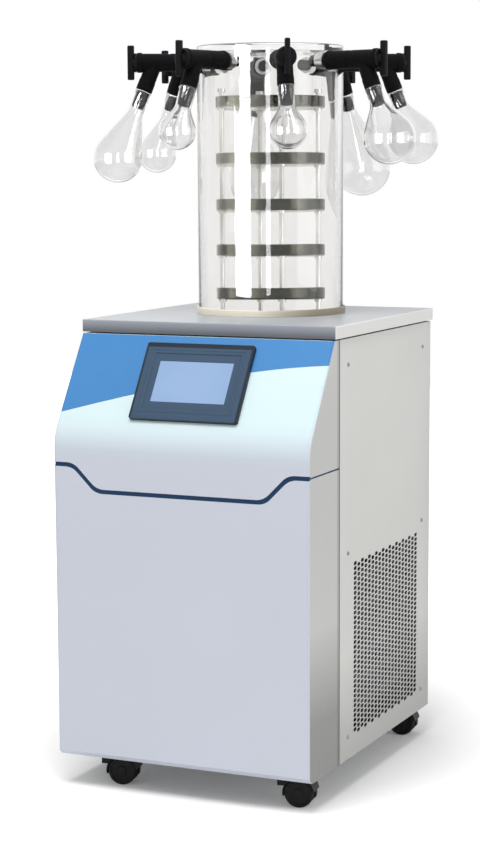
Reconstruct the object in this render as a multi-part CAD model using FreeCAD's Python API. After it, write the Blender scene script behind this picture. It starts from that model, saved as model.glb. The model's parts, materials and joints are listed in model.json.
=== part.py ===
import FreeCAD, Part
import math
import os

# Laboratory freeze dryer with a shelf chamber and an eight-port flask manifold.
# Millimetres. It is drawn with X to the right, Y to the back and Z up from the floor,
# centred on the cabinet, and moved at the end so that the origin is bottom centre of its box.

V = FreeCAD.Vector
UP = V(0, 0, 1)
BACK = V(0, 1, 0)
RIGHT = V(1, 0, 0)
TOUCH = 0.01
PAST = 1.0

# --- cabinet ---
BODY_W = 472.0
BODY_D = 578.0
FRONT = -BODY_D / 2
REAR = BODY_D / 2
SIDE = BODY_W / 2
BODY_BOTTOM = 54.0
BODY_TOP = 779.0
SHEET = 1.5
FASCIA_T = 2.5
FASCIA_DEPTH = 128.0
FASCIA_BACK = FRONT + FASCIA_DEPTH
FOLD_Z = 613.5
SLANT_BACK = -181.0
CORNER_R = 4.5
FOLD_R = 70.0
TOE_RISE = 10.0
TOE_BACK = 12.0
SEAM = 1.5
FLANGE = 14.0
TONGUE_MARGIN = 20.0

# --- groove and strip across the front ---
STRIPE_Z = 564.5
STRIPE_DROP = 43.5
STRIPE_HALF = 3.75
STRIPE_OUT_X = 199.0
STRIPE_BEND_R = 32.0
SIDE_SEAM_HALF = 1.5
STRIPE_RECESS = 1.2

# --- slanted panel ---
BEZEL_W = 200.0
BEZEL_H = 145.0
BEZEL_S = 108.5
BEZEL_T = 7.0
BEZEL_R = 5.0
SCREEN_W = 137.0
SCREEN_H = 77.0
SCREEN_T = 3.0
STEP_W = 158.0
STEP_H = 104.0
STEP_DEPTH = 2.0
BEZEL_CHAMFER = 1.5
STEP_R = 3.0
SCREEN_R = 1.5
GLASS_PANE = 2.5
CASE_MARGIN = 13.0
CASE_DEPTH = 34.0
WINDOW_MARGIN = 15.0
FILM_T = 0.4
FILM_MARGIN = 0.6
FILM_CURVE = ((-236.0, 44.0), (-104.0, 84.2), (0.0, 112.0), (103.5, 134.5), (236.0, 152.0))

# --- top plate ---
PLATE_W = 476.0
PLATE_FRONT = -179.0
PLATE_BACK = 298.0
PLATE_TOP = 802.5
PLATE_LIP = 21.0
PLATE_T = 2.0
PLATE_R = 4.0
PLATE_EDGE_R = 1.5

# --- side vents and screws ---
VENT_FRONT = -104.0
VENT_BACK = 233.0
VENT_LOW = 90.0
VENT_HIGH = 396.0
VENT_COLUMNS = 10
VENT_ROWS = 9
VENT_HOLE_R = 8.0
SCREW_YS = (-121.0, 245.0)
SCREW_ZS = (94.0, 414.0, 735.0)
SCREW_R = 4.0
SCREW_T = 1.8
SCREW_TAPER = 0.7
SCREW_SLOT = 0.5
SCREW_SHANK_R = 1.9
SCREW_SHANK = 9.0
# --- back panel ---
SLOT_COLUMNS = 14
SLOT_ROWS = 2
SLOT_FIRST_X = -182.0
SLOT_PITCH = 28.0
SLOT_W = 9.0
SLOT_H = 44.0
SLOT_Z = 560.0
SLOT_RISE = 60.0
PIPE_ROOM = 1.0

# --- chamber ---
AXIS_Y = 95.0
CHAMBER_R = 130.0
CHAMBER_WALL = 8.0
CHAMBER_TOP = 1274.0
CHAMBER_LID = 12.0
LID_EDGE_R = 2.0
PORT_ROOM = 0.1
GASKET_T = 4.0
GASKET_LIP = 12.0
GASKET_ROOM = 0.1
GASKET_R = 134.0
GASKET_BORE = 104.5
TRAP_R = 98.0
TRAP_WALL = 2.0
TRAP_FLANGE_R = 104.0
TRAP_DEPTH = 280.0
TRAP_CORNER_R = 12.0

# --- shelves ---
SHELF_R = 97.5
SHELF_WALL = 1.2
SHELF_H = 20.0
SHELF_EDGE_R = 2.5
SHELF_LEVELS = (31.0, 107.0, 186.0, 266.0, 364.0)
ROD_R = 4.0
ROD_RING = 88.0
ROD_TURN = 36.4
ROD_TOP = 398.0
ROD_CAP = 6.0
ROD_ROOM = 0.3
COLLAR_R = 7.0
COLLAR_H = 4.0
RACK_RING = (82.0, 103.0)
RACK_RING_T = 3.0
RUNNING = 0.05

# --- manifold ---
PORTS = 8
PORT_TURN = 30.5
PORT_Z = 1245.0
SPIGOT_R = 9.5
SPIGOT_START = 92.0
SPIGOT_BORE = 5.5
NUT_R = 14.0
NUT_LENGTH = 15.0
BARREL_R = 16.0
BARREL_START = 130.2
BARREL_END = 236.0
BARREL_RIM_R = 17.5
BARREL_RIM = 8.0
PLUG_R = 9.0
PLUG_START = 168.0
PASSAGE_R = 5.0
BRANCH_AT = 205.0
BRANCH_TILT = 22.0
BRANCH_R = 14.0
BRANCH_LENGTH = 53.0
TIP_LENGTH = 32.0
TIP_R = 11.9
TIP_END_R = 10.5
HANDLE_CAP_R = 16.5
HANDLE_CAP = 4.5
HANDLE_GAP = 0.5
WING_TALL = 60.0
WING_THICK = 9.0
WING_DEEP = 12.0
WING_R = 5.0

# --- flasks: bulb radius and the bulb's distance from the barrel's axis, by port ---
NECK_R = 14.0
GLASS = 2.0
SMALL = (32.0, 131.0)
MEDIUM = (45.0, 145.0)
TALL = (36.0, 169.8)
LONG = (44.0, 178.5)
LARGE = (54.0, 199.0)
FLASKS = (SMALL, MEDIUM, MEDIUM, LARGE, LARGE, TALL, LONG, SMALL)
BEAD_R = 1.6
MOUTH_GAP = 0.3
SHORT_SHOULDER = 32.0
LONG_SHOULDER = 21.5
LONG_REACH = 160.0

# --- casters ---
CASTER_X = 167.0
CASTER_FRONT_Y = 236.0
CASTER_REAR_Y = 260.0
CASTER_TURNS = {1: 8.0, 2: 10.0, 3: 6.0, 4: -14.0}
CASTER_SIGNS = {1: (1, -1), 2: (-1, -1), 3: (1, 1), 4: (-1, 1)}
TRAIL = 29.0
WHEEL_R = 25.0
WHEEL_IN = 5.2
WHEEL_OUT = 17.5
AXLE_R = 4.0
WEB = 4.6
HOOD_R = 25.8
HOOD_T = 2.0
HOOD_HALF = 17.5
HOOD_FRONT_RISE = 4.0
HOOD_BACK_DROP = 6.0
WEB_DROP = 8.0
CROWN_R = 14.0
CROWN_T = 8.0
STEM_ROOM = 11.0
TREAD_R = 2.5
DISH_RIM = 5.0
DISH_HUB = 8.0
DISH_DEPTH = 2.0
FORK_TOP = 56.5
STEM_R = 5.0
STEM_TOP = 63.0
PAN_Z = 66.0
PAN_T = 3.0
PAN_RIM = 25.0
PLATE_BOSS_R = 15.0
PLATE_BOSS = 57.0
MOUNT_T = 3.0
MOUNT_HALF = (30.0, 25.0)

# --- machinery inside ---
COIL_TUBE = 4.5
COIL_GAP = 0.4
COIL_TURNS = 8
COIL_PITCH = 22.0
COIL_RISE = 30.0
HEADER_R = 4.1
JACKET_IN = 110.0
JACKET_OUT = 148.0
JACKET_FLOOR = 25.0
COMPRESSOR_AT = (-120.0, 40.0)
COMPRESSOR_R = 82.0
COMPRESSOR_H = 190.0
COMPRESSOR_BASE = (95.0, 70.0)
DOME_R = 30.0
SEAM_PROUD = 3.0
SEAM_H = 5.0
FOOT_R = 12.0
FOOT_H = 14.0
SUCTION_R = 6.0
DISCHARGE_R = 4.0
STUB_OUT = 30.0
STUB_LENGTH = 42.0
CONDENSER_X = 176.0
CONDENSER_D = 40.0
CONDENSER_W = 280.0
CONDENSER_H = 270.0
CONDENSER_Y = 64.0
CONDENSER_Z = 100.0
FIN_COUNT = 26
FIN_T = 1.0
FIN_INSET = 4.0
END_PLATE = 2.0
TUBE_ROWS = 6
TUBE_FIRST = 24.0
TUBE_RISE = 44.0
TUBE_XS = (12.0, 28.0)
SHROUD_DEPTH = 26.0
FAN_R = 104.0
FAN_BLADES = 5
FAN_ROOM = 4.0
FAN_AHEAD = 12.0
MOTOR_R = 32.0
MOTOR_BEHIND = 52.0
MOTOR_LENGTH = 34.0
SHAFT_R = 4.0
ARM_T = 3.0
ARM_HALF = 6.0
ARM_REACH = 122.0
ARM_TURNS = (45.0, 135.0, 225.0, 315.0)
BLADE_T = 2.0
BLADE_HALF = 26.0
BLADE_GAP = 6.0
BLADE_PITCH = 16.0
HUB_R = 22.0
HUB_BEHIND = 6.0
HUB_LENGTH = 16.0
PORT_PIPE_R = 14.0
PORT_BORE_R = 12.5
PORT_INNER_R = 11.5
PORT_BORE_LENGTH = 90.0
PORT_PIPE_Z = 740.0
PORT_FLANGE_R = 20.0
PORT_FLANGE_T = 5.0
PORT_END = 322.0
DRAIN_Z = 430.0
DRAIN_R = 8.0
DRAIN_BORE = 5.0
DRAIN_END = 372.0
DRAIN_VALVE_OUT = 24.0
DRAIN_BLOCK = 15.0
DRAIN_BLOCK_Y = 20.0
BONNET_R = 9.0
BONNET_H = 8.0
TAIL_R = 6.0
SPINDLE_R = 3.0
SPINDLE_LOW = 11.0
LEVER_T = 4.0
LEVER_HALF = 6.0
LEVER_BACK = 8.0
LEVER_LENGTH = 52.0
CONTROL_X = (-216.0, -96.0)
CONTROL_Z = (230.0, 470.0)
CONTROL_D = 70.0
CONTROL_R = 4.0
CONTROL_LID = 4.0
CONTROL_LID_IN = 6.0
INLET_X = -150.0
INLET_Z = 140.0
SWITCH_RISE = 45.0
SOCKET_FLANGE = 3.0
SOCKET_FLANGE_HALF = (24.0, 17.0)
SOCKET_HALF = (14.0, 12.0)
SOCKET_CASE = 26.0
WELL_HALF = (11.5, 8.5)
WELL_DEPTH = 14.0
PIN_HALF = (2.0, 1.0)
PIN_PLACES = ((-6.5, -1.5), (0.0, 3.0), (6.5, -1.5))
PIN_BACK = 2.0
COLLAR_HALF = (14.0, 19.5)
SWITCH_COLLAR = 2.0
TUB_HALF = (11.0, 16.5)
TUB_DEPTH = 20.0
TUB_FLOOR = 4.0
ROCKER_ROOM = (9.0, 14.5)
ROCKER_HALF = 8.4
ROCKER_OUTLINE = ((-8.0, -7.0), (-2.0, -11.0), (6.0, -11.0), (2.0, 0.0), (-1.0, 11.0), (-8.0, 7.0))
LINK_HALF = 9.0
LINK_BACK = 12.0


def box(x0, x1, y0, y1, z0, z1):
    return Part.makeBox(x1 - x0, y1 - y0, z1 - z0, V(x0, y0, z0))


def rod(r, start, direction, length):
    return Part.makeCylinder(r, length, start, direction)


def ring(outer, inner, start, direction, length):
    return rod(outer, start, direction, length).cut(rod(inner, start, direction, length))


def fuse(shapes):
    first, rest = shapes[0], shapes[1:]
    return first.fuse(rest).removeSplitter() if rest else first


def moved(shape, offset):
    copy = shape.copy()
    copy.translate(offset)
    return copy


def turned(shape, centre, axis, angle):
    copy = shape.copy()
    copy.rotate(centre, axis, angle)
    return copy


def rounded_edges(points, radius):
    """Straight edges through the points, with a tangent arc at every inner point."""
    edges = []
    last = points[0]
    for before, corner, after in zip(points, points[1:], points[2:]):
        a = (before - corner).normalize()
        b = (after - corner).normalize()
        half = a.getAngle(b) / 2
        cut = radius / math.tan(half)
        start = corner + a * cut
        end = corner + b * cut
        centre = corner + (a + b).normalize() * (radius / math.sin(half))
        middle = centre + (corner - centre).normalize() * radius
        edges.append(Part.makeLine(last, start))
        edges.append(Part.Arc(start, middle, end).toShape())
        last = end
    edges.append(Part.makeLine(last, points[-1]))
    return edges


def prism(points, direction):
    """A straight-sided solid from a closed outline."""
    wire = Part.makePolygon(list(points) + [points[0]])
    return Part.Face(wire).extrude(direction)


def plate_with_holes(outline, holes, direction):
    """An extruded sheet: the outline's points and a list of (centre, radius) holes."""
    normal = V(direction).normalize()
    wires = [Part.makePolygon(list(outline) + [outline[0]])]
    for centre, radius in holes:
        wires.append(Part.Wire(Part.makeCircle(radius, centre, normal)))
    return Part.Face(wires, "Part::FaceMakerBullseye").extrude(direction)


def filleted(solid, radius, test):
    """Rounds the edges whose bounding box and closedness pass the test."""
    edges = [edge for edge in solid.Edges if test(edge)]
    return solid.makeFillet(radius, edges)


def is_upright(height):
    return lambda edge: edge.BoundBox.ZLength > height - TOUCH


def is_rim_below(z):
    return lambda edge: edge.Closed and edge.BoundBox.ZMax < z + TOUCH


def is_rim_above(z):
    return lambda edge: edge.Closed and edge.BoundBox.ZMin > z - TOUCH


# ---------------------------------------------------------------- front fascia

SLANT_ANGLE = math.degrees(math.atan2(BODY_TOP - FOLD_Z, SLANT_BACK - FRONT))
SLANT_LENGTH = math.hypot(BODY_TOP - FOLD_Z, SLANT_BACK - FRONT)


def on_slant(shape):
    """Lays a flat drawing (x, up the slope, outwards) on the slanted panel."""
    rotation = FreeCAD.Rotation(RIGHT, SLANT_ANGLE)
    placed = shape.copy()
    placed.Placement = FreeCAD.Placement(V(0, FRONT, FOLD_Z), rotation).multiply(shape.Placement)
    return placed


def fascia_profile(inset):
    """The fascia's side outline in the YZ plane, moved inwards by the inset."""
    slope = math.radians(SLANT_ANGLE)
    fold_shift = inset * math.tan((math.pi / 2 - slope) / 2)
    top_shift = inset * math.tan(slope / 2)
    past = PAST if inset else 0.0
    low = BODY_BOTTOM - past
    back = FASCIA_BACK + past
    return [
        V(0, back, low),
        V(0, FRONT + TOE_BACK + inset, low),
        V(0, FRONT + inset, BODY_BOTTOM + TOE_RISE),
        V(0, FRONT + inset, FOLD_Z - fold_shift),
        V(0, SLANT_BACK + top_shift, BODY_TOP - inset),
        V(0, back, BODY_TOP - inset),
    ]


def fascia_block(inset):
    """The fascia's filled form, with its fold and side edges rounded."""
    half = SIDE - inset
    outline = [point - RIGHT * half for point in fascia_profile(inset)]
    return round_fascia(prism(outline, RIGHT * (2 * half)), inset)


def fascia_skin(inset, thickness):
    """The folded front: vertical face, slanted face and two side returns."""
    return fascia_block(inset).cut(fascia_block(inset + thickness))


def round_fascia(solid, inset):
    """Rounds the fold across the front, then the two long edges beside it."""
    half = SIDE - inset

    def is_fold(edge):
        span = edge.BoundBox
        level = span.ZLength < TOUCH and abs(span.ZMin - FOLD_Z) < inset + PAST
        return level and span.XLength > half and span.YMax < FRONT + inset + PAST

    def is_side_edge(edge):
        span = edge.BoundBox
        at_side = span.XLength < TOUCH and abs(abs(span.XMin) - half) < TOUCH
        ahead = span.YMax < SLANT_BACK + inset + TOUCH
        return at_side and ahead and span.ZMin > BODY_BOTTOM + TOE_RISE - TOUCH

    folded = filleted(solid, FOLD_R - inset, is_fold)
    return filleted(folded, CORNER_R - inset, is_side_edge)


def stripe_line(offset):
    """One long edge of the groove, as the centre line moved up by the offset."""
    shift = offset * math.tan(math.pi / 8)
    outer = STRIPE_OUT_X
    inner = STRIPE_OUT_X - STRIPE_DROP
    high = STRIPE_Z + offset
    low = high - STRIPE_DROP
    y = FRONT - PAST
    far = SIDE + PAST
    return [
        V(-far, y, high),
        V(-outer + shift, y, high),
        V(-inner + shift, y, low),
        V(inner - shift, y, low),
        V(outer - shift, y, high),
        V(far, y, high),
    ]


def stripe_band():
    """The groove across the front, and the narrow seam that carries on round both sides."""
    over = stripe_line(STRIPE_HALF)
    under = stripe_line(-STRIPE_HALF)
    upper = rounded_edges(over, STRIPE_BEND_R)
    lower = rounded_edges(under, STRIPE_BEND_R)
    left = Part.makeLine(over[0], under[0])
    right = Part.makeLine(over[-1], under[-1])
    wire = Part.Wire(Part.__sortEdges__(upper + lower + [left, right]))
    groove = Part.Face(wire).extrude(BACK * (CORNER_R + PAST))
    far = SIDE + PAST
    low, high = STRIPE_Z - SIDE_SEAM_HALF, STRIPE_Z + SIDE_SEAM_HALF
    seam = box(-far, far, FRONT + CORNER_R - PAST, FASCIA_BACK + PAST, low, high)
    return fuse([groove, seam])


def fascia_parts():
    """The upper fascia with its screen window, the lower panel and the strip between them."""
    band = stripe_band()
    skin = fascia_skin(0.0, FASCIA_T).cut(band)
    pieces = sorted(skin.Solids, key=lambda solid: solid.CenterOfMass.z)
    lower, upper = pieces[0], pieces[-1]
    strip = fascia_skin(STRIPE_RECESS, FASCIA_T - STRIPE_RECESS).common(band)
    window = slant_block(SCREEN_W + 2 * WINDOW_MARGIN, SCREEN_H + 2 * WINDOW_MARGIN, -CASE_DEPTH, PAST)
    return upper.cut(on_slant(window)), lower, strip


def blue_overlay():
    """A thin film on the slanted panel, above a gentle curve."""
    curve = Part.BSplineCurve()
    curve.interpolate([V(x, s, 0) for x, s in FILM_CURVE])
    half = SIDE - CORNER_R
    top = SLANT_LENGTH - FILM_MARGIN
    start = V(*FILM_CURVE[0], 0)
    end = V(*FILM_CURVE[-1], 0)
    corners = [start, V(start.x, top, 0), V(end.x, top, 0), end]
    sides = [Part.makeLine(a, b) for a, b in zip(corners, corners[1:])]
    film = Part.Face(Part.Wire([curve.toShape()] + sides)).extrude(UP * FILM_T)
    trim = box(-half, half, 0, top, -PAST, FILM_T + PAST)
    return on_slant(film.common(trim).cut(bezel_block()))


def slant_block(width, height, low, high):
    """A flat block in the slanted panel's drawing, centred on the touch screen."""
    return box(-width / 2, width / 2, BEZEL_S - height / 2, BEZEL_S + height / 2, low, high)


def rounded_plate(width, height, low, high, radius):
    return filleted(slant_block(width, height, low, high), radius, is_upright(high - low))


def bezel_block():
    return rounded_plate(BEZEL_W, BEZEL_H, 0.0, BEZEL_T, BEZEL_R)


def screen_bezel():
    """The touch screen's frame: a proud plate, a shallow step and its case behind the panel."""
    block = bezel_block()
    front = [e for e in block.Edges if e.BoundBox.ZMin > BEZEL_T - TOUCH]
    block = block.makeChamfer(BEZEL_CHAMFER, front)
    floor = BEZEL_T - STEP_DEPTH
    step = rounded_plate(STEP_W, STEP_H, floor, BEZEL_T + PAST, STEP_R)
    recess = rounded_plate(SCREEN_W, SCREEN_H, floor - SCREEN_T, floor + PAST, SCREEN_R)
    case = slant_block(SCREEN_W + 2 * CASE_MARGIN, SCREEN_H + 2 * CASE_MARGIN, -CASE_DEPTH, 0.0)
    return on_slant(fuse([block, case]).cut([step, recess]))


def screen_glass():
    base = BEZEL_T - STEP_DEPTH - SCREEN_T
    return on_slant(rounded_plate(SCREEN_W, SCREEN_H, base, base + GLASS_PANE, SCREEN_R))


# ---------------------------------------------------------------- cabinet sheets

def vent_holes(x):
    """Staggered rows of holes in a side panel."""
    pitch_y = (VENT_BACK - VENT_FRONT - 2 * VENT_HOLE_R) / (VENT_COLUMNS - 0.5)
    pitch_z = (VENT_HIGH - VENT_LOW - 2 * VENT_HOLE_R) / (VENT_ROWS - 1)
    first_y = VENT_FRONT + VENT_HOLE_R
    first_z = VENT_LOW + VENT_HOLE_R
    holes = []
    for row in range(VENT_ROWS):
        for column in range(VENT_COLUMNS):
            y = first_y + pitch_y * (column + 0.5 * (row % 2))
            holes.append((V(x, y, first_z + pitch_z * row), VENT_HOLE_R))
    return holes


def mirrored_box(side, near, far, y0, y1, z0, z1):
    """A block between two distances from the middle, on the given side."""
    low, high = sorted((side * near, side * far))
    return box(low, high, y0, y1, z0, z1)


def side_panel(side):
    """A folded sheet with a perforated vent, a tongue behind the fascia and a rail under the plate."""
    inner = SIDE - SHEET
    front = FASCIA_BACK + SEAM
    corners = ((front, BODY_BOTTOM), (REAR, BODY_BOTTOM), (REAR, BODY_TOP), (front, BODY_TOP))
    outline = [V(side * inner, y, z) for y, z in corners]
    holes = vent_holes(side * inner)
    holes += [(V(side * inner, y, z), SCREW_SHANK_R) for y in SCREW_YS for z in SCREW_ZS]
    sheet = plate_with_holes(outline, holes, RIGHT * (side * SHEET))
    deep = SIDE - FLANGE
    end = REAR - SHEET
    bottom = mirrored_box(side, deep, inner, front, end, BODY_BOTTOM, BODY_BOTTOM + SHEET)
    top = mirrored_box(side, deep, inner, front, end, BODY_TOP - SHEET, BODY_TOP)
    rail = mirrored_box(side, deep, deep + SHEET, front, end, BODY_TOP, PLATE_TOP - PLATE_T)
    lap = SIDE - FASCIA_T
    low, high = BODY_BOTTOM + TONGUE_MARGIN, BODY_TOP - TONGUE_MARGIN
    tongue = mirrored_box(side, lap - SHEET, lap, FASCIA_BACK - FLANGE, front + SHEET, low, high)
    joggle = mirrored_box(side, lap - SHEET, inner, front, front + SHEET, low, high)
    return fuse([sheet, bottom, top, rail, tongue, joggle])


def back_slots():
    """Two rows of upright air slots, high in the back panel."""
    slots = []
    for row in range(SLOT_ROWS):
        for column in range(SLOT_COLUMNS):
            x = SLOT_FIRST_X + column * SLOT_PITCH
            z = SLOT_Z + row * SLOT_RISE
            slots.append(box(x, x + SLOT_W, REAR - SHEET - PAST, REAR + PAST, z, z + SLOT_H))
    return slots


def around_inlet(half_width, half_height, y0, y1, rise=0.0):
    """A block centred on the power inlet, or on the switch above it."""
    z = INLET_Z + rise
    return box(INLET_X - half_width, INLET_X + half_width, y0, y1, z - half_height, z + half_height)


def back_panel():
    y = REAR - SHEET
    x = SIDE - SHEET
    corners = ((-x, BODY_BOTTOM), (x, BODY_BOTTOM), (x, BODY_TOP), (-x, BODY_TOP))
    outline = [V(cx, y, cz) for cx, cz in corners]
    holes = [(V(0, y, PORT_PIPE_Z), PORT_PIPE_R + PIPE_ROOM), (V(0, y, DRAIN_Z), DRAIN_R + PIPE_ROOM)]
    sheet = plate_with_holes(outline, holes, BACK * SHEET)
    inlet = around_inlet(*SOCKET_HALF, y - PAST, REAR + PAST)
    switch = around_inlet(*TUB_HALF, y - PAST, REAR + PAST, SWITCH_RISE)
    sheet = sheet.cut(back_slots() + [inlet, switch])
    half = SIDE - FLANGE
    top = box(-half, half, y - FLANGE, y, BODY_TOP - SHEET, BODY_TOP)
    rail = box(-half, half, y - FLANGE, y - FLANGE + SHEET, BODY_TOP, PLATE_TOP - PLATE_T)
    return fuse([sheet, top, rail])


def base_pan():
    """An open tray, notched at its two front corners to pass inside the fascia's returns."""
    x = SIDE - SHEET
    front = FRONT + TOE_BACK + FASCIA_T
    back = REAR - SHEET
    top = PAN_Z + PAN_RIM
    tray = box(-x, x, front, back, PAN_Z, top)
    hollow = box(-x + PAN_T, x - PAN_T, front + PAN_T, back - PAN_T, PAN_Z + PAN_T, top + PAST)
    tray = tray.cut(hollow)
    narrow = SIDE - FASCIA_T - SHEET
    end = FASCIA_BACK + SEAM + SHEET
    for side in (-1, 1):
        notch = mirrored_box(side, narrow, SIDE, front - PAST, end, PAN_Z - PAST, top + PAST)
        wall = mirrored_box(side, narrow - PAN_T, narrow, front, end + PAN_T, PAN_Z, top)
        tray = fuse([tray.cut(notch), wall])
    return tray


def top_plate():
    """A folded stainless plate: flat top, four lips and the round opening over the cold trap."""
    half = PLATE_W / 2
    low = PLATE_TOP - PLATE_LIP
    block = box(-half, half, PLATE_FRONT, PLATE_BACK, low, PLATE_TOP)
    block = filleted(block, PLATE_R, is_upright(PLATE_LIP))
    block = filleted(block, PLATE_EDGE_R, lambda e: e.BoundBox.ZMin > PLATE_TOP - TOUCH)
    x = half - PLATE_T
    hollow = box(-x, x, PLATE_FRONT + PLATE_T, PLATE_BACK - PLATE_T, low - PAST, PLATE_TOP - PLATE_T)
    opening = rod(TRAP_FLANGE_R, V(0, AXIS_Y, low), UP, PLATE_LIP + PAST)
    return block.cut([hollow, opening])


def panel_screw(side, y, z):
    """A low slotted head on the side panel, with its shank inside."""
    out = RIGHT * side
    seat = V(side * SIDE, y, z)
    head = Part.makeCone(SCREW_R, SCREW_R * SCREW_TAPER, SCREW_T, seat, out)
    slot = box(-SCREW_R, SCREW_R, -SCREW_SLOT, SCREW_SLOT, -SCREW_SLOT, SCREW_SLOT)
    shank = rod(SCREW_SHANK_R - RUNNING, seat - out * SCREW_SHANK, out, SCREW_SHANK)
    return fuse([head.cut(moved(slot, seat + out * SCREW_T)), shank])


def panel_screws():
    places = [(side, y, z) for side in (-1, 1) for y in SCREW_YS for z in SCREW_ZS]
    return Part.makeCompound([panel_screw(*place) for place in places])


# ---------------------------------------------------------------- casters

def caster_frame(index):
    sign_x, sign_y = CASTER_SIGNS[index]
    along = CASTER_REAR_Y if sign_y > 0 else CASTER_FRONT_Y
    return V(sign_x * CASTER_X, sign_y * along, 0), CASTER_TURNS[index]


def placed_caster(shape, index):
    stem, turn = caster_frame(index)
    return moved(turned(shape, V(0, 0, 0), UP, turn), stem)


def caster_fork():
    """Hood, centre web and stem of one twin-wheel caster, trailing along +X."""
    hub = V(TRAIL, 0, WHEEL_R)
    outer = HOOD_R + HOOD_T
    top = WHEEL_R + outer
    arch = ring(outer, HOOD_R, hub - BACK * HOOD_HALF, BACK, 2 * HOOD_HALF)
    cover = box(TRAIL - outer, TRAIL + outer, -HOOD_HALF, HOOD_HALF, WHEEL_R + HOOD_FRONT_RISE, top)
    skirt = box(TRAIL - outer, TRAIL, -HOOD_HALF, HOOD_HALF, WHEEL_R - HOOD_BACK_DROP, top)
    web = rod(outer, hub - BACK * WEB, BACK, 2 * WEB)
    web = web.common(box(TRAIL - outer, TRAIL + outer, -WEB, WEB, WHEEL_R - WEB_DROP, top))
    neck = box(-STEM_ROOM, TRAIL, -WEB, WEB, WHEEL_R + WEB_DROP, FORK_TOP - CROWN_T)
    crown = rod(CROWN_R, V(0, 0, FORK_TOP - CROWN_T), UP, CROWN_T)
    stem = rod(STEM_R, V(0, 0, FORK_TOP), UP, STEM_TOP - FORK_TOP)
    body = fuse([arch.common(cover.fuse(skirt)), web, neck, crown, stem])
    rooms = [ring(HOOD_R, WEB, hub + BACK * (side * WEB), BACK * side, BODY_BOTTOM) for side in (-1, 1)]
    bore = rod(AXLE_R + RUNNING, hub - BACK * HOOD_R, BACK, 2 * HOOD_R)
    return body.cut(rooms + [bore])


def caster_wheels():
    """Two wheels on one axle; each has a rounded tread and a dished outer face."""
    hub = V(TRAIL, 0, WHEEL_R)
    parts = [rod(AXLE_R, hub - BACK * WHEEL_OUT, BACK, 2 * WHEEL_OUT)]
    for side in (-1, 1):
        out = BACK * side
        wheel = rod(WHEEL_R, hub + out * WHEEL_IN, out, WHEEL_OUT - WHEEL_IN)
        wheel = filleted(wheel, TREAD_R, lambda edge: edge.Closed)
        dish = ring(WHEEL_R - DISH_RIM, DISH_HUB, hub + out * (WHEEL_OUT - DISH_DEPTH), out, PAN_T)
        parts.append(wheel.cut(dish))
    return fuse(parts)


def caster_plates():
    """A flat plate and a boss under the pan for each caster's stem."""
    plates = []
    half_x, half_y = MOUNT_HALF
    for index in sorted(CASTER_SIGNS):
        stem, _turn = caster_frame(index)
        flat = box(-half_x, half_x, -half_y, half_y, PAN_Z - MOUNT_T, PAN_Z)
        boss = rod(PLATE_BOSS_R, V(0, 0, PLATE_BOSS), UP, PAN_Z - MOUNT_T - PLATE_BOSS)
        bore = rod(STEM_R + RUNNING, V(0, 0, PLATE_BOSS), UP, STEM_TOP + SEAM / 2 - PLATE_BOSS)
        plates.append(moved(fuse([flat, boss]).cut(bore), stem))
    return Part.makeCompound(plates)


# ---------------------------------------------------------------- chamber and shelves

def around(radius, angle, z):
    """A point at a radius from the chamber's axis; angle 0 is straight ahead, growing to the right."""
    turn = math.radians(angle)
    return V(radius * math.sin(turn), AXIS_Y - radius * math.cos(turn), z)


def port_angle(index):
    return PORT_TURN + 360.0 / PORTS * index


def port_direction(index):
    turn = math.radians(port_angle(index))
    return V(math.sin(turn), -math.cos(turn), 0)


def chamber_gasket():
    """An L-shaped ring: the clear tube stands on its foot, inside its lip."""
    base = V(0, AXIS_Y, PLATE_TOP)
    foot = ring(GASKET_R, GASKET_BORE, base, UP, GASKET_T)
    lip = ring(GASKET_R, CHAMBER_R + GASKET_ROOM, base, UP, GASKET_LIP)
    return fuse([foot, lip])


def acrylic_chamber():
    """A clear tube with its flat top bonded on, and eight ports in the upper wall."""
    bottom = PLATE_TOP + GASKET_T
    centre = V(0, AXIS_Y, bottom)
    tube = rod(CHAMBER_R, centre, UP, CHAMBER_TOP - bottom)
    tube = filleted(tube, LID_EDGE_R, is_rim_above(CHAMBER_TOP))
    cuts = [rod(CHAMBER_R - CHAMBER_WALL, centre, UP, CHAMBER_TOP - CHAMBER_LID - bottom)]
    for index in range(PORTS):
        start = along_port(index, CHAMBER_R - 2 * CHAMBER_WALL)
        cuts.append(rod(SPIGOT_R + PORT_ROOM, start, port_direction(index), 3 * CHAMBER_WALL))
    return tube.cut(cuts)


def rod_places():
    return [around(ROD_RING, ROD_TURN + 90 * i, PLATE_TOP) for i in range(4)]


def shelf_rack():
    """Base ring with four rods; each rod has a collar under every shelf and a cap on top."""
    parts = [ring(RACK_RING[1], RACK_RING[0], V(0, AXIS_Y, PLATE_TOP), UP, RACK_RING_T)]
    for place in rod_places():
        parts.append(rod(ROD_R, place, UP, ROD_TOP))
        parts.append(rod(COLLAR_R, place + UP * (ROD_TOP - ROD_CAP), UP, ROD_CAP))
        for level in SHELF_LEVELS:
            parts.append(rod(COLLAR_R, place + UP * (level - COLLAR_H), UP, COLLAR_H))
    return fuse(parts)


def shelf(level):
    """A stamped round tray, pierced for the four rods."""
    base = V(0, AXIS_Y, PLATE_TOP + level)
    tray = rod(SHELF_R, base, UP, SHELF_H)
    tray = filleted(tray, SHELF_EDGE_R, is_rim_below(base.z))
    room = rod(SHELF_R - SHELF_WALL, base + UP * SHELF_WALL, UP, SHELF_H)
    holes = [rod(ROD_R + ROD_ROOM, V(p.x, p.y, base.z - PAST), UP, SHELF_WALL + 2 * PAST)
             for p in rod_places()]
    return tray.cut([room] + holes)


# ---------------------------------------------------------------- manifold

def along_port(index, radius):
    return around(radius, port_angle(index), PORT_Z)


def branch_direction(index):
    """Down and outwards from the barrel."""
    tilt = math.radians(BRANCH_TILT)
    return port_direction(index) * math.sin(tilt) - UP * math.cos(tilt)


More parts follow.
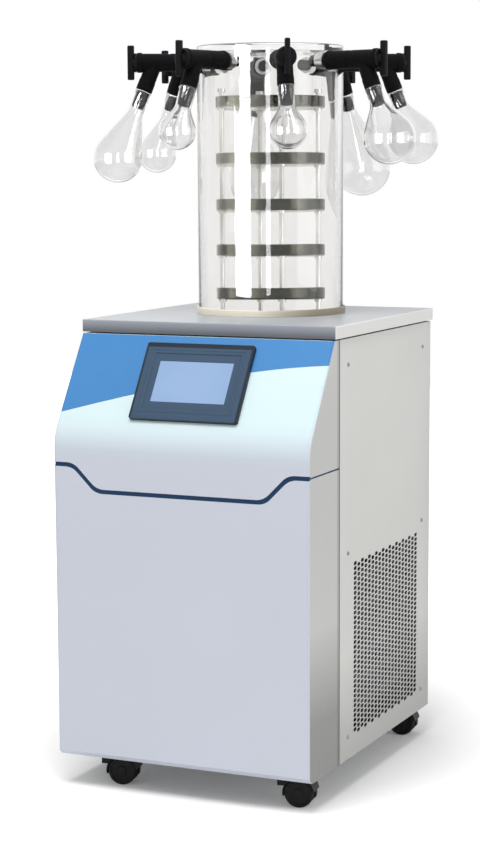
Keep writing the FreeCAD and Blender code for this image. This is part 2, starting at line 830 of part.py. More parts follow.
def valve_body(index):
    """One moulded rubber tee: spigot through the wall, barrel, end rim and tapered branch."""
    out = port_direction(index)
    down = branch_direction(index)
    root = along_port(index, BRANCH_AT)
    spigot = rod(SPIGOT_R, along_port(index, SPIGOT_START), out, BARREL_START - SPIGOT_START)
    barrel = rod(BARREL_R, along_port(index, BARREL_START), out, BARREL_END - BARREL_START)
    rim = rod(BARREL_RIM_R, along_port(index, BARREL_END - BARREL_RIM), out, BARREL_RIM)
    branch = rod(BRANCH_R, root, down, BRANCH_LENGTH)
    tip = Part.makeCone(TIP_R, TIP_END_R, TIP_LENGTH, root + down * BRANCH_LENGTH, down)
    solid = fuse([barrel, spigot, rim, branch, tip])
    inlet = rod(SPIGOT_BORE, along_port(index, SPIGOT_START), out, PLUG_START - SPIGOT_START)
    seat = rod(PLUG_R, along_port(index, PLUG_START - PAST), out, BARREL_END - PLUG_START + 2 * PAST)
    outlet = rod(SPIGOT_BORE, root, down, BRANCH_LENGTH + TIP_LENGTH + PAST)
    return solid.cut([inlet, seat, outlet])


def handle_wing(index):
    """The wing across the cap, with its two ends rounded."""
    start = BARREL_END + HANDLE_GAP + HANDLE_CAP - PAST
    half_t, half_h = WING_THICK / 2, WING_TALL / 2
    wing = box(start, start + WING_DEEP + PAST, -half_t, half_t, -half_h, half_h)
    wing = filleted(wing, WING_R, lambda e: e.BoundBox.YLength > WING_THICK - TOUCH
                    and e.BoundBox.XMin > start + PAST)
    wing = turned(wing, V(0, 0, 0), UP, port_angle(index) - 90)
    return moved(wing, V(0, AXIS_Y, PORT_Z))


def valve_handle(index):
    """The turning plug with its cap and wing; its passage runs from the inner end to the branch."""
    out = port_direction(index)
    cap_start = BARREL_END + HANDLE_GAP
    plug = rod(PLUG_R - RUNNING, along_port(index, PLUG_START), out, cap_start - PLUG_START)
    cap = rod(HANDLE_CAP_R, along_port(index, cap_start), out, HANDLE_CAP)
    entry = along_port(index, PLUG_START - PAST)
    passage = rod(PASSAGE_R, entry, out, BRANCH_AT - PLUG_START + PAST)
    side_hole = rod(PASSAGE_R, along_port(index, BRANCH_AT), branch_direction(index), PLUG_R + 2 * PAST)
    return fuse([plug, cap, handle_wing(index)]).cut([passage, side_hole])


def port_fittings():
    """The ring nut on each spigot, against the inside of the chamber's wall."""
    wall = math.sqrt((CHAMBER_R - CHAMBER_WALL) ** 2 - NUT_R ** 2)
    starts = [along_port(i, wall - NUT_LENGTH) for i in range(PORTS)]
    nuts = [ring(NUT_R, SPIGOT_R, start, port_direction(i), NUT_LENGTH) for i, start in enumerate(starts)]
    return Part.makeCompound(nuts)


def flask(index):
    """A blown flask, drawn along -Z from the barrel's axis and then hung on its branch."""
    bulb_r, reach = FLASKS[index]
    mouth = V(0, 0, -(BRANCH_LENGTH + MOUTH_GAP))
    bead = Part.makeTorus(NECK_R - BEAD_R / 2, BEAD_R, mouth - UP * BEAD_R, UP)
    throat = rod(NECK_R - GLASS, mouth - UP * (4 * BEAD_R), UP, 8 * BEAD_R)
    glass = fuse([flask_form(bulb_r, reach, 0.0), bead])
    glass = glass.cut([flask_form(bulb_r, reach, GLASS), throat])
    glass = turned(glass, V(0, 0, 0), BACK, -BRANCH_TILT)
    glass = turned(glass, V(0, 0, 0), UP, port_angle(index) - 90)
    return moved(glass, along_port(index, BRANCH_AT))


def flask_form(bulb_r, reach, inset):
    """The flask's filled form: straight neck, cone tangent to the bulb, and the bulb."""
    mouth = BRANCH_LENGTH + MOUTH_GAP
    neck_r = NECK_R - inset
    ball_r = bulb_r - inset
    slope = math.radians(LONG_SHOULDER if reach > LONG_REACH else SHORT_SHOULDER)
    tangent = reach - ball_r * math.sin(slope)
    tangent_r = ball_r * math.cos(slope)
    join = tangent - (tangent_r - neck_r) / math.tan(slope)
    neck = rod(neck_r, V(0, 0, -mouth), -UP, join - mouth)
    cone = Part.makeCone(neck_r, tangent_r, tangent - join, V(0, 0, -join), -UP)
    ball = Part.makeSphere(ball_r, V(0, 0, -reach))
    return fuse([neck, cone, ball])


# ---------------------------------------------------------------- machinery

def cold_trap():
    """The stainless pot: flange in the plate's opening, wall, floor and the two pipe holes."""
    base = V(0, AXIS_Y, PLATE_TOP - TRAP_DEPTH)
    floor = base + UP * TRAP_WALL
    pot = filleted(rod(TRAP_R, base, UP, TRAP_DEPTH), TRAP_CORNER_R, is_rim_below(base.z))
    flange = rod(TRAP_FLANGE_R, V(0, AXIS_Y, PLATE_TOP - PLATE_T), UP, PLATE_T)
    room = rod(TRAP_R - TRAP_WALL, floor, UP, TRAP_DEPTH)
    room = filleted(room, TRAP_CORNER_R - TRAP_WALL, is_rim_below(floor.z))
    pipe = rod(PORT_INNER_R, V(0, AXIS_Y + TRAP_R / 2, PORT_PIPE_Z), BACK, TRAP_R)
    drain = rod(DRAIN_BORE, base - UP * PAST, UP, TRAP_WALL + 2 * PAST)
    return fuse([pot, flange]).cut([room, pipe, drain])


def coil_level(turn):
    return PLATE_TOP - TRAP_DEPTH + COIL_RISE + turn * COIL_PITCH


def trap_coil():
    """The evaporator: tube rings soldered round the pot and joined by two headers."""
    middle = TRAP_R + COIL_GAP + COIL_TUBE
    low = coil_level(0)
    length = coil_level(COIL_TURNS - 1) - low
    levels = [V(0, AXIS_Y, coil_level(turn)) for turn in range(COIL_TURNS)]
    rings = [Part.makeTorus(middle, COIL_TUBE, level, UP) for level in levels]
    headers = [rod(HEADER_R, V(side * middle, AXIS_Y, low), UP, length) for side in (-1, 1)]
    return fuse(rings + headers)


def trap_insulation():
    """A foamed jacket with a floor, hung under the top plate."""
    top = PLATE_TOP - PLATE_T
    base = PLATE_TOP - TRAP_DEPTH - JACKET_FLOOR
    jacket = rod(JACKET_OUT, V(0, AXIS_Y, base), UP, top - base)
    room = rod(JACKET_IN, V(0, AXIS_Y, PLATE_TOP - TRAP_DEPTH), UP, TRAP_DEPTH)
    pipe = rod(PORT_PIPE_R, V(0, AXIS_Y + TRAP_R / 2, PORT_PIPE_Z), BACK, JACKET_OUT)
    drain = rod(DRAIN_R, V(0, AXIS_Y, base - PAST), UP, JACKET_FLOOR + 2 * PAST)
    return jacket.cut([room, pipe, drain])


def compressor():
    """A hermetic compressor: domed can, weld seam, four feet, base plate and stub pipes."""
    floor = V(*COMPRESSOR_AT, PAN_Z + PAN_T)
    low = floor + UP * FOOT_H
    top = low + UP * COMPRESSOR_H
    can = filleted(rod(COMPRESSOR_R, low, UP, COMPRESSOR_H), DOME_R, lambda edge: edge.Closed)
    seam = rod(COMPRESSOR_R + SEAM_PROUD, low + UP * (COMPRESSOR_H / 2), UP, SEAM_H)
    half_x, half_y = COMPRESSOR_BASE
    base = moved(box(-half_x, half_x, -half_y, half_y, 0, SEAM_H), low)
    foot_x, foot_y = half_x - FOOT_R, half_y - FOOT_R
    spots = [V(x, y, 0) for x in (-foot_x, foot_x) for y in (-foot_y, foot_y)]
    feet = [rod(FOOT_R, floor + spot, UP, FOOT_H) for spot in spots]
    suction = rod(SUCTION_R, top + RIGHT * STUB_OUT - UP * SEAM_H, UP, STUB_LENGTH)
    discharge = rod(DISCHARGE_R, top - RIGHT * STUB_OUT - UP * SEAM_H, UP, STUB_LENGTH)
    return fuse([can, seam, base, suction, discharge] + feet)


def condenser_fins():
    """Upright fins between the end plates."""
    start = CONDENSER_Y - CONDENSER_W / 2 + END_PLATE
    pitch = (CONDENSER_W - 2 * END_PLATE) / (FIN_COUNT + 1)
    x0, x1 = CONDENSER_X + FIN_INSET, CONDENSER_X + CONDENSER_D - FIN_INSET
    z0, z1 = CONDENSER_Z + 2 * FIN_INSET, CONDENSER_Z + CONDENSER_H - FIN_INSET
    middles = [start + pitch * (i + 1) for i in range(FIN_COUNT)]
    return [box(x0, x1, y - FIN_T / 2, y + FIN_T / 2, z0, z1) for y in middles]


def condenser_tubes():
    """Two columns of straight tube runs through the fins."""
    y0 = CONDENSER_Y - CONDENSER_W / 2
    runs = []
    for row in range(TUBE_ROWS):
        z = CONDENSER_Z + TUBE_FIRST + row * TUBE_RISE
        for x in TUBE_XS:
            runs.append(rod(COIL_TUBE, V(CONDENSER_X + x, y0, z), BACK, CONDENSER_W))
    return runs


def condenser():
    """A finned block between two end plates, with tube runs, shroud and fan opening."""
    x0, x1 = CONDENSER_X, CONDENSER_X + CONDENSER_D
    y0, y1 = CONDENSER_Y - CONDENSER_W / 2, CONDENSER_Y + CONDENSER_W / 2
    z0, z1 = CONDENSER_Z, CONDENSER_Z + CONDENSER_H
    floor = PAN_Z + PAN_T
    ends = [box(x0, x1, y0, y0 + END_PLATE, floor, z1), box(x0, x1, y1 - END_PLATE, y1, floor, z1)]
    shroud = box(x0 - SHROUD_DEPTH, x0, y0, y1, z0, z1)
    room = box(x0 - SHROUD_DEPTH + END_PLATE, x0 + PAST, y0 + END_PLATE, y1 - END_PLATE,
               z0 + END_PLATE, z1 - END_PLATE)
    opening = rod(FAN_R + FAN_ROOM, fan_centre() - RIGHT * SHROUD_DEPTH, RIGHT, SHROUD_DEPTH)
    return fuse(ends + condenser_fins() + condenser_tubes() + [shroud.cut([room, opening])])


def fan_centre():
    return V(CONDENSER_X - FAN_AHEAD, CONDENSER_Y, CONDENSER_Z + CONDENSER_H / 2)


def fan_motor():
    """Motor can and shaft on a four-armed bracket, screwed to the shroud round its opening."""
    centre = fan_centre()
    start = centre - RIGHT * MOTOR_BEHIND
    parts = [rod(MOTOR_R, start, RIGHT, MOTOR_LENGTH), rod(SHAFT_R, start, RIGHT, MOTOR_BEHIND)]
    x = CONDENSER_X - SHROUD_DEPTH - ARM_T
    arm = box(x, x + ARM_T, centre.y - ARM_HALF, centre.y + ARM_HALF, centre.z, centre.z + ARM_REACH)
    parts += [turned(arm, centre, RIGHT, turn) for turn in ARM_TURNS]
    return fuse(parts)


def fan_blade(index):
    """A flat pitched blade trimmed to the fan's circle."""
    centre = fan_centre()
    tip = FAN_R - BLADE_GAP
    blade = box(-BLADE_T / 2, BLADE_T / 2, -BLADE_HALF, BLADE_HALF, HUB_R - BLADE_GAP, tip)
    blade = turned(moved(blade, centre), centre, UP, BLADE_PITCH)
    blade = blade.common(rod(tip, centre - RIGHT * BLADE_HALF, RIGHT, 2 * BLADE_HALF))
    return turned(blade, centre, RIGHT, 360.0 / FAN_BLADES * index)


def fan_rotor():
    """Hub cap and pitched blades on the motor's shaft."""
    centre = fan_centre()
    hub = rod(HUB_R, centre - RIGHT * HUB_BEHIND, RIGHT, HUB_LENGTH)
    bore = rod(SHAFT_R + RUNNING, centre - RIGHT * MOTOR_BEHIND, RIGHT, MOTOR_BEHIND + SEAM)
    return fuse([hub] + [fan_blade(i) for i in range(FAN_BLADES)]).cut(bore)


def vacuum_port():
    """A flanged pipe from the trap's wall through the back panel."""
    start = V(0, AXIS_Y + TRAP_R - PAST, PORT_PIPE_Z)
    end = V(0, PORT_END, PORT_PIPE_Z)
    length = end.y - start.y
    pipe = rod(PORT_PIPE_R, start, BACK, length)
    flange = rod(PORT_FLANGE_R, end, -BACK, PORT_FLANGE_T)
    inner = rod(PORT_INNER_R, start - BACK * PORT_FLANGE_T, BACK, length)
    bore = rod(PORT_BORE_R, end + BACK * PAST, -BACK, PORT_BORE_LENGTH + PAST)
    pot = rod(TRAP_R, V(0, AXIS_Y, PLATE_TOP - TRAP_DEPTH), UP, TRAP_DEPTH)
    return fuse([pipe, flange]).cut([pot, inner, bore])


def drain_valve():
    """The drain pipe from the trap's floor, its elbow, valve block and plain hose tail."""
    corner = V(0, AXIS_Y, DRAIN_Z)
    at = V(0, REAR + DRAIN_VALVE_OUT, DRAIN_Z)
    half = DRAIN_BLOCK
    fall = rod(DRAIN_R, corner, UP, PLATE_TOP - TRAP_DEPTH - DRAIN_Z)
    elbow = Part.makeSphere(DRAIN_R, corner)
    run = rod(DRAIN_R, corner, BACK, at.y - corner.y)
    block = moved(box(-half, half, -DRAIN_BLOCK_Y, DRAIN_BLOCK_Y, -half, half), at)
    bonnet = rod(BONNET_R, at, UP, half + BONNET_H)
    tail = rod(TAIL_R, at, BACK, DRAIN_END - at.y)
    bores = [rod(DRAIN_BORE, corner, UP, TRAP_DEPTH), rod(DRAIN_BORE, corner, BACK, BODY_D)]
    spindle_hole = rod(SPINDLE_R + RUNNING, at + UP * SPINDLE_LOW, UP, half + BONNET_H)
    return fuse([fall, elbow, run, block, bonnet, tail]).cut(bores + [spindle_hole])


def drain_lever():
    """Spindle and lever of the drain valve, in line with the pipe when open."""
    at = V(0, REAR + DRAIN_VALVE_OUT, DRAIN_Z)
    low = DRAIN_BLOCK + BONNET_H + HANDLE_GAP
    foot = SPINDLE_LOW + HANDLE_GAP
    spindle = rod(SPINDLE_R, at + UP * foot, UP, low + LEVER_T - foot)
    arm = box(-LEVER_HALF, LEVER_HALF, -LEVER_BACK, LEVER_LENGTH, low, low + LEVER_T)
    arm = filleted(arm, LEVER_HALF - PAST, is_upright(LEVER_T))
    return fuse([moved(arm, at), spindle])


def control_box():
    """The electrics case on the back panel, with its lid facing inwards."""
    x0, x1 = CONTROL_X
    z0, z1 = CONTROL_Z
    back = REAR - SHEET
    front = back - CONTROL_D
    case = filleted(box(x0, x1, front, back, z0, z1), CONTROL_R,
                    lambda e: e.BoundBox.YLength > CONTROL_D - TOUCH)
    m = CONTROL_LID_IN
    lid = box(x0 + m, x1 - m, front - CONTROL_LID, front, z0 + m, z1 - m)
    return fuse([case, lid])


def power_inlet():
    """A panel socket for a plug-in lead with three pins in its well, and the switch's open tub."""
    y = REAR - SHEET
    face = REAR + SOCKET_FLANGE
    flange = around_inlet(*SOCKET_FLANGE_HALF, REAR, face)
    case = around_inlet(*SOCKET_HALF, y - SOCKET_CASE, face)
    well = around_inlet(*WELL_HALF, y - WELL_DEPTH, face + PAST)
    pins = []
    for dx, dz in PIN_PLACES:
        pin = around_inlet(*PIN_HALF, y - WELL_DEPTH - PAST, REAR - PIN_BACK)
        pins.append(moved(pin, V(dx, 0, dz)))
    collar = around_inlet(*COLLAR_HALF, REAR, REAR + SWITCH_COLLAR, SWITCH_RISE)
    tub = around_inlet(*TUB_HALF, y - TUB_DEPTH, REAR + SWITCH_COLLAR, SWITCH_RISE)
    room = around_inlet(*ROCKER_ROOM, y - TUB_DEPTH + TUB_FLOOR, face + PAST, SWITCH_RISE)
    low, high = INLET_Z + SOCKET_HALF[1] - PAST, INLET_Z + SWITCH_RISE - TUB_HALF[1] + PAST
    link = box(INLET_X - LINK_HALF, INLET_X + LINK_HALF, y - TUB_DEPTH, y - LINK_BACK, low, high)
    switch = fuse([collar, tub]).cut(room)
    return fuse([fuse([flange, case]).cut(well), switch, link] + pins)


def power_switch():
    """The rocker, pivoting across its collar with one end pressed in."""
    z = INLET_Z + SWITCH_RISE
    x = INLET_X - ROCKER_HALF
    outline = [V(x, REAR + dy, z + dz) for dy, dz in ROCKER_OUTLINE]
    return prism(outline, RIGHT * (2 * ROCKER_HALF))


# ---------------------------------------------------------------- assembly

def build():
    upper, lower, strip = fascia_parts()
    nodes = {
        "base_pan": base_pan(),
        "left_side_panel": side_panel(-1),
        "right_side_panel": side_panel(1),
        "back_panel": back_panel(),
        "top_plate": top_plate(),
        "upper_fascia": upper,
        "lower_front_panel": lower,
        "stripe_strip": strip,
        "blue_overlay": blue_overlay(),
        "screen_bezel": screen_bezel(),
        "screen_glass": screen_glass(),
        "panel_screws": panel_screws(),
        "cold_trap": cold_trap(),
        "trap_coil": trap_coil(),
        "trap_insulation": trap_insulation(),
        "compressor": compressor(),
        "condenser": condenser(),
        "fan_motor": fan_motor(),
        "fan_rotor": fan_rotor(),
        "vacuum_port": vacuum_port(),
        "drain_valve": drain_valve(),
        "drain_lever": drain_lever(),
        "control_box": control_box(),
        "power_inlet": power_inlet(),
        "power_switch": power_switch(),
        "chamber_gasket": chamber_gasket(),
        "acrylic_chamber": acrylic_chamber(),
        "port_fittings": port_fittings(),
        "shelf_rack": shelf_rack(),
        "valve_bodies": Part.makeCompound([valve_body(i) for i in range(PORTS)]),
        "caster_plates": caster_plates(),
    }
    for number, level in enumerate(SHELF_LEVELS, 1):
        nodes[f"shelf_{number}"] = shelf(level)
    for index in range(PORTS):
        nodes[f"valve_handle_{index + 1}"] = valve_handle(index)
        nodes[f"flask_{index + 1}"] = flask(index)
    for index in sorted(CASTER_SIGNS):
        nodes[f"caster_fork_{index}"] = placed_caster(caster_fork(), index)
        nodes[f"caster_wheels_{index}"] = placed_caster(caster_wheels(), index)
    return nodes


def origin_shift(nodes):
    """From the cabinet's centre to the middle of the whole object's box, on the floor."""
    whole = FreeCAD.BoundBox()
    for shape in nodes.values():
        whole.add(shape.optimalBoundingBox(False))
    return V(-whole.Center.x, -whole.Center.y, -whole.ZMin), whole


NODES = build()
SHIFT, WHOLE = origin_shift(NODES)

os.makedirs("parts", exist_ok=True)
for name, shape in NODES.items():
    moved(shape, SHIFT).exportStep(f"parts/{name}.step")
    print(name, "solids", len(shape.Solids), "valid", shape.isValid(), "cm3", round(shape.Volume / 1000, 1))
print("nodes", len(NODES), "shift", SHIFT, "size", WHOLE.XLength, WHOLE.YLength, WHOLE.ZLength)
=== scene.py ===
# %% [markdown]
# # A freeze dryer, dressed for rendering
#
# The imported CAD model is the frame: every solid is already at its real size and place. This
# lesson puts a finish on each CAD piece that already has the right shape, and models new
# pieces where the real thing has more detail than the solid: perforated sheet, blown glass,
# moulded rubber, turned and stamped parts. Everything is in metres, and nothing is moved.

# %% Load the frame
import json
import math

import bmesh
import bpy
from mathutils import Matrix, Vector


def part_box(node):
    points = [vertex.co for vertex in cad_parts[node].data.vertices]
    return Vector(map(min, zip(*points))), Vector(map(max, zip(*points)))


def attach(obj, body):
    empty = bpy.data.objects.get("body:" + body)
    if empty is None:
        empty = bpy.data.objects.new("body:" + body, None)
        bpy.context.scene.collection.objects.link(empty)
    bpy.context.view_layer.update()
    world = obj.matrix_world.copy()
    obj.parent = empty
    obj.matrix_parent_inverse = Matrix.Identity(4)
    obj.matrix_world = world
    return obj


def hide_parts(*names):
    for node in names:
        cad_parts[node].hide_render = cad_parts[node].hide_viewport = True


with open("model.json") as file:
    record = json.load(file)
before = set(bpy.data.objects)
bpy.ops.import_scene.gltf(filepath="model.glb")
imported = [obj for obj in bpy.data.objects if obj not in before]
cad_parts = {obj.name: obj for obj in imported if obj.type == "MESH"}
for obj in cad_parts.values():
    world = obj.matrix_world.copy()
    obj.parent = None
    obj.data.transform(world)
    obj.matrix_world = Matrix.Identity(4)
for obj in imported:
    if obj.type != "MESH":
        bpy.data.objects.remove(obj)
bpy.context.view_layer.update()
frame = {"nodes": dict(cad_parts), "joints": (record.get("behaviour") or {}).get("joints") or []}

nodes = frame["nodes"]
joints = {joint["name"]: joint for joint in frame["joints"]}

# %% [markdown]
# ## Measures taken from the frame
#
# Every new piece is placed from the boxes of the CAD nodes and the joints' own points, so the
# numbers below are read, not guessed. Only the sizes of small details are given.

# %% Read the cabinet and the chamber
X, Y, Z = Vector((1, 0, 0)), Vector((0, 1, 0)), Vector((0, 0, 1))
MM = 0.001

side_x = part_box("right_side_panel")[1].x
fascia_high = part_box("upper_fascia")[1]
front_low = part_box("lower_front_panel")[0]
rear_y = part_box("back_panel")[1].y
plate_low, plate_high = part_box("top_plate")
tube_low, tube_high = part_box("acrylic_chamber")
gasket_low, gasket_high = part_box("chamber_gasket")

front_y, body_low, body_top = front_low.y, front_low.z, fascia_high.z
plate_top = plate_high.z
mid_y = (front_y + rear_y) / 2
chamber_axis = Vector(((tube_low.x + tube_high.x) / 2, (tube_low.y + tube_high.y) / 2, 0))
chamber_r = (tube_high.x - tube_low.x) / 2
print("cabinet", round(2 * side_x, 4), "by", round(rear_y - front_y, 4), "top", round(plate_top, 4))
print("chamber radius", round(chamber_r, 4), "axis y", round(chamber_axis.y, 4))

# %% [markdown]
# ## Helpers for meshes
#
# Most of the new pieces are either turned (a line of points spun round an axis) or built from
# a block whose faces are inset, extruded and bevelled. Both start in a small local drawing and
# are then carried to their place by one matrix, so each object itself stays at the origin.

# %% Turn a mesh into a piece of the machine
TOUCHING = 1e-6


def add_piece(name, bm, finish, body="cabinet", stands_for=(), crease=35.0, whole=True):
    """Closes seams and poles, turns the faces of a whole skin outwards and adds the piece."""
    bmesh.ops.remove_doubles(bm, verts=bm.verts, dist=TOUCHING)
    if whole:
        bmesh.ops.recalc_face_normals(bm, faces=bm.faces)
    mesh = bpy.data.meshes.new(name)
    bm.to_mesh(mesh)
    bm.free()
    mesh.materials.append(finish)
    mesh.shade_smooth()
    mesh.set_sharp_from_angle(angle=math.radians(crease))
    piece = bpy.data.objects.new(name, mesh)
    bpy.context.scene.collection.objects.link(piece)
    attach(piece, body)
    if stands_for:
        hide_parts(*stands_for)
    return piece


def aim(point, direction):
    """A matrix that carries local Z to a direction and local X as near upright as it can."""
    z = Vector(direction).normalized()
    x = Z - z * z.z
    x = x.normalized() if x.length > TOUCHING else X
    turn = Matrix((x, z.cross(x), z)).transposed().to_4x4()
    return Matrix.Translation(point) @ turn

# %% Spin a line of points into a turned shape
def verts_in(items):
    return [item for item in items if isinstance(item, bmesh.types.BMVert)]


def gather_linked(start):
    """Every vertex joined to the given ones by edges."""
    found = {vert for vert in start if vert.is_valid}
    waiting = list(found)
    while waiting:
        vert = waiting.pop()
        for edge in vert.link_edges:
            other = edge.other_vert(vert)
            if other not in found:
                found.add(other)
                waiting.append(other)
    return found


def spin_outline(bm, points, steps, place, closed=False):
    """Spins points of (radius, height). A closed outline makes a ring."""
    verts = [bm.verts.new((radius, 0.0, height)) for radius, height in points]
    pairs = list(zip(verts, verts[1:]))
    if closed:
        pairs.append((verts[-1], verts[0]))
    edges = [bm.edges.new(pair) for pair in pairs]
    spun = bmesh.ops.spin(bm, geom=verts + edges, cent=(0, 0, 0), axis=(0, 0, 1),
                          angle=2 * math.pi, steps=steps, use_merge=True)
    linked = gather_linked(verts + verts_in(spun["geom_last"]))
    bmesh.ops.transform(bm, matrix=place, verts=list(linked))


def round_corner(before, corner, after, radius, steps=4):
    """Points of an arc that rounds one corner of an outline."""
    before, corner, after = Vector(before), Vector(corner), Vector(after)
    a, b = (before - corner).normalized(), (after - corner).normalized()
    half = a.angle(b) / 2
    reach = radius / math.tan(half)
    centre = corner + (a + b).normalized() * (radius / math.sin(half))
    start, end = corner + a * reach - centre, corner + b * reach - centre
    sweep = start.angle_signed(end)
    points = []
    for step in range(steps + 1):
        angle = -sweep * step / steps
        cos, sin = math.cos(angle), math.sin(angle)
        points.append((centre.x + start.x * cos - start.y * sin,
                       centre.y + start.x * sin + start.y * cos))
    return points


def outline(corners, unit=1.0, closed=False):
    """Points from corners of (radius, height, rounding), where 0 keeps a corner sharp."""
    points = [(radius * unit, height * unit) for radius, height, _rounding in corners]
    soft = []
    for index, (_radius, _height, rounding) in enumerate(corners):
        if rounding and (closed or 0 < index < len(points) - 1):
            after = points[(index + 1) % len(points)]
            soft += round_corner(points[index - 1], points[index], after, rounding * unit)
        else:
            soft.append(points[index])
    return soft

# %% A block with rounded edges
def round_edges(bm, edges, radius, segments, clamp=False):
    bmesh.ops.bevel(bm, geom=edges, offset=radius, segments=segments, affect="EDGES",
                    profile=0.5, material=-1, clamp_overlap=clamp)


def soft_block(bm, size, centre, radius, segments=2, place=Matrix.Identity(4)):
    verts = bmesh.ops.create_cube(bm, size=1.0)["verts"]
    bmesh.ops.scale(bm, vec=size, verts=verts)
    bmesh.ops.translate(bm, vec=centre, verts=verts)
    edges = list({edge for vert in verts for edge in vert.link_edges})
    bmesh.ops.transform(bm, matrix=place, verts=verts)
    if radius:
        round_edges(bm, edges, radius, segments, clamp=True)


print("mesh helpers ready")

# %% [markdown]
# ## Helpers for finishes
#
# A finish is a Principled shader fed by a few noises. A broad noise drifts the colour a little,
# as no sprayed or moulded surface is quite even. A fine noise gives the grain, in the roughness
# and as a small bump. All of them read Object coordinates, which are metres on the machine.

# %% Small node builders
def srgb(*screen):
    """Screen colours from 0 to 255, as linear numbers for a shader."""
    shares = [value / 255 for value in screen]
    return (*[v / 12.92 if v <= 0.04045 else ((v + 0.055) / 1.055) ** 2.4 for v in shares], 1.0)


def numbered(stem, count):
    return [f"{stem}_{number}" for number in range(1, count + 1)]


def new_finish(name, **sockets):
    """A finish whose named sockets, such as Metallic, are the same all over the surface."""
    finish = bpy.data.materials.new(name)
    finish.use_nodes = True
    tree = finish.node_tree
    shader = tree.nodes["Principled BSDF"]
    for socket, value in sockets.items():
        shader.inputs[socket.replace("_", " ")].default_value = value
    return finish, tree, shader, tree.nodes.new("ShaderNodeTexCoord").outputs["Object"]


def noise(tree, coords, scale, detail, stretch=None):
    if stretch:
        mapping = tree.nodes.new("ShaderNodeMapping")
        mapping.inputs["Scale"].default_value = stretch
        tree.links.new(coords, mapping.inputs["Vector"])
        coords = mapping.outputs["Vector"]
    node = tree.nodes.new("ShaderNodeTexNoise")
    node.inputs["Scale"].default_value = scale
    node.inputs["Detail"].default_value = detail
    tree.links.new(coords, node.inputs["Vector"])
    return node.outputs["Fac"]


def drawn_out(axis, squeeze=0.012):
    """Scales for a noise that is drawn out into lines along one axis."""
    return [squeeze if letter == axis else 1.0 for letter in "XYZ"]


def calculate(tree, operation, *numbers):
    """A Math node fed by other nodes' outputs."""
    node = tree.nodes.new("ShaderNodeMath")
    node.operation = operation
    for number, socket in zip(numbers, node.inputs):
        tree.links.new(number, socket)
    return node.outputs["Value"]


def between(tree, factor, low, high, start=0.3, end=0.7):
    """Maps a noise, which mostly lies between start and end, to a range of numbers."""
    ranged = tree.nodes.new("ShaderNodeMapRange")
    tree.links.new(factor, ranged.inputs["Value"])
    for name, value in (("From Min", start), ("From Max", end), ("To Min", low), ("To Max", high)):
        ranged.inputs[name].default_value = value
    return ranged.outputs["Result"]


def blend_colours(tree, factor, first, second):
    """Mixes two colours, each a fixed colour or another node's output."""
    mix = tree.nodes.new("ShaderNodeMix")
    mix.data_type = "RGBA"
    tree.links.new(factor, mix.inputs["Factor"])
    for socket, colour in ((mix.inputs[6], first), (mix.inputs[7], second)):
        if isinstance(colour, bpy.types.NodeSocket):
            tree.links.new(colour, socket)
        else:
            socket.default_value = colour
    return mix.outputs[2]


def shade(colour, gain):
    return (*[min(1.0, part * gain) for part in colour[:3]], 1.0)


def emboss(tree, shader, height, strength, depth):
    bump = tree.nodes.new("ShaderNodeBump")
    bump.inputs["Strength"].default_value = strength
    bump.inputs["Distance"].default_value = depth
    tree.links.new(height, bump.inputs["Height"])
    tree.links.new(bump.outputs["Normal"], shader.inputs["Normal"])

# %% One recipe for painted, moulded and cast finishes
def grained_finish(name, colour, roughness, grain, depth, drift, speckle, rough_range=0.06,
                   stretch=None, **sockets):
    """Colour drift and speckle, uneven roughness and a relief of this grain and depth, in mm."""
    finish, tree, shader, coords = new_finish(name, **sockets)
    broad = noise(tree, coords, 5.0, detail=3.0)
    fine = noise(tree, coords, 1.0 / (grain * MM), detail=3.0, stretch=stretch)
    drifted = blend_colours(tree, between(tree, broad, 0.0, 1.0), shade(colour, 1 - drift),
                            shade(colour, 1 + drift))
    speckled = blend_colours(tree, between(tree, fine, 0.0, 1.0), drifted,
                             shade(colour, 1 - 2 * speckle))
    final = blend_colours(tree, between(tree, fine, 0.0, 0.5), drifted, speckled)
    tree.links.new(final, shader.inputs["Base Color"])
    tree.links.new(between(tree, fine, roughness - rough_range, roughness + rough_range),
                   shader.inputs["Roughness"])
    emboss(tree, shader, fine, 0.35, depth * MM)
    return finish


def dress(finish, *names):
    """Gives CAD pieces this finish in place of their own."""
    for name in names:
        materials = nodes[name].data.materials
        materials.clear()
        materials.append(finish)

# %% [markdown]
# ## Sheet metal finishes
#
# The front is a smooth stoved enamel with a little orange peel and a clear gloss on top. The
# side and back sheets carry a duller grey powder coat. The top is stainless, brushed from left
# to right and matt with use, so it mirrors little. Its grain is a noise drawn out along X.
# The slanted face is painted a lighter, cyan-white tone as painted light from above. The turned
# edges have a grey tone of their own and are painted darker towards their foot, with a darker band
# at their rear bend, both painted shade. The top's front lip is painted dark as a painted
# reflection, and its side lips light as painted light. The open joint at each side sheet's front
# edge gets painted shade, and the sheets are painted darker towards their foot as painted shade.
# Each is a second coat, laid over the sheet's finish where a mask along one axis is 1.

# %% Enamel and powder coat
front_enamel = grained_finish(
    "front_enamel", srgb(203, 208, 220), roughness=0.32, grain=4.0, depth=0.008, drift=0.012,
    speckle=0.004, rough_range=0.03, Coat_Weight=0.12, Coat_Roughness=0.15)
grey_powder = grained_finish(
    "grey_powder", srgb(206, 206, 203), roughness=0.5, grain=1.1, depth=0.04, drift=0.02,
    speckle=0.02, rough_range=0.08)
dress(front_enamel, "upper_fascia", "lower_front_panel")
dress(grey_powder, "back_panel")

# %% A second coat where a mask is 1
def ramp_along(tree, coords, axis, low, high, mirrored=False):
    """Rises from 0 to 1 between two places on one axis, or on both sides of its middle plane."""
    split = tree.nodes.new("ShaderNodeSeparateXYZ")
    tree.links.new(coords, split.inputs["Vector"])
    place = split.outputs[axis]
    if mirrored:
        place = calculate(tree, "ABSOLUTE", place)
    return between(tree, place, 0.0, 1.0, low, high)


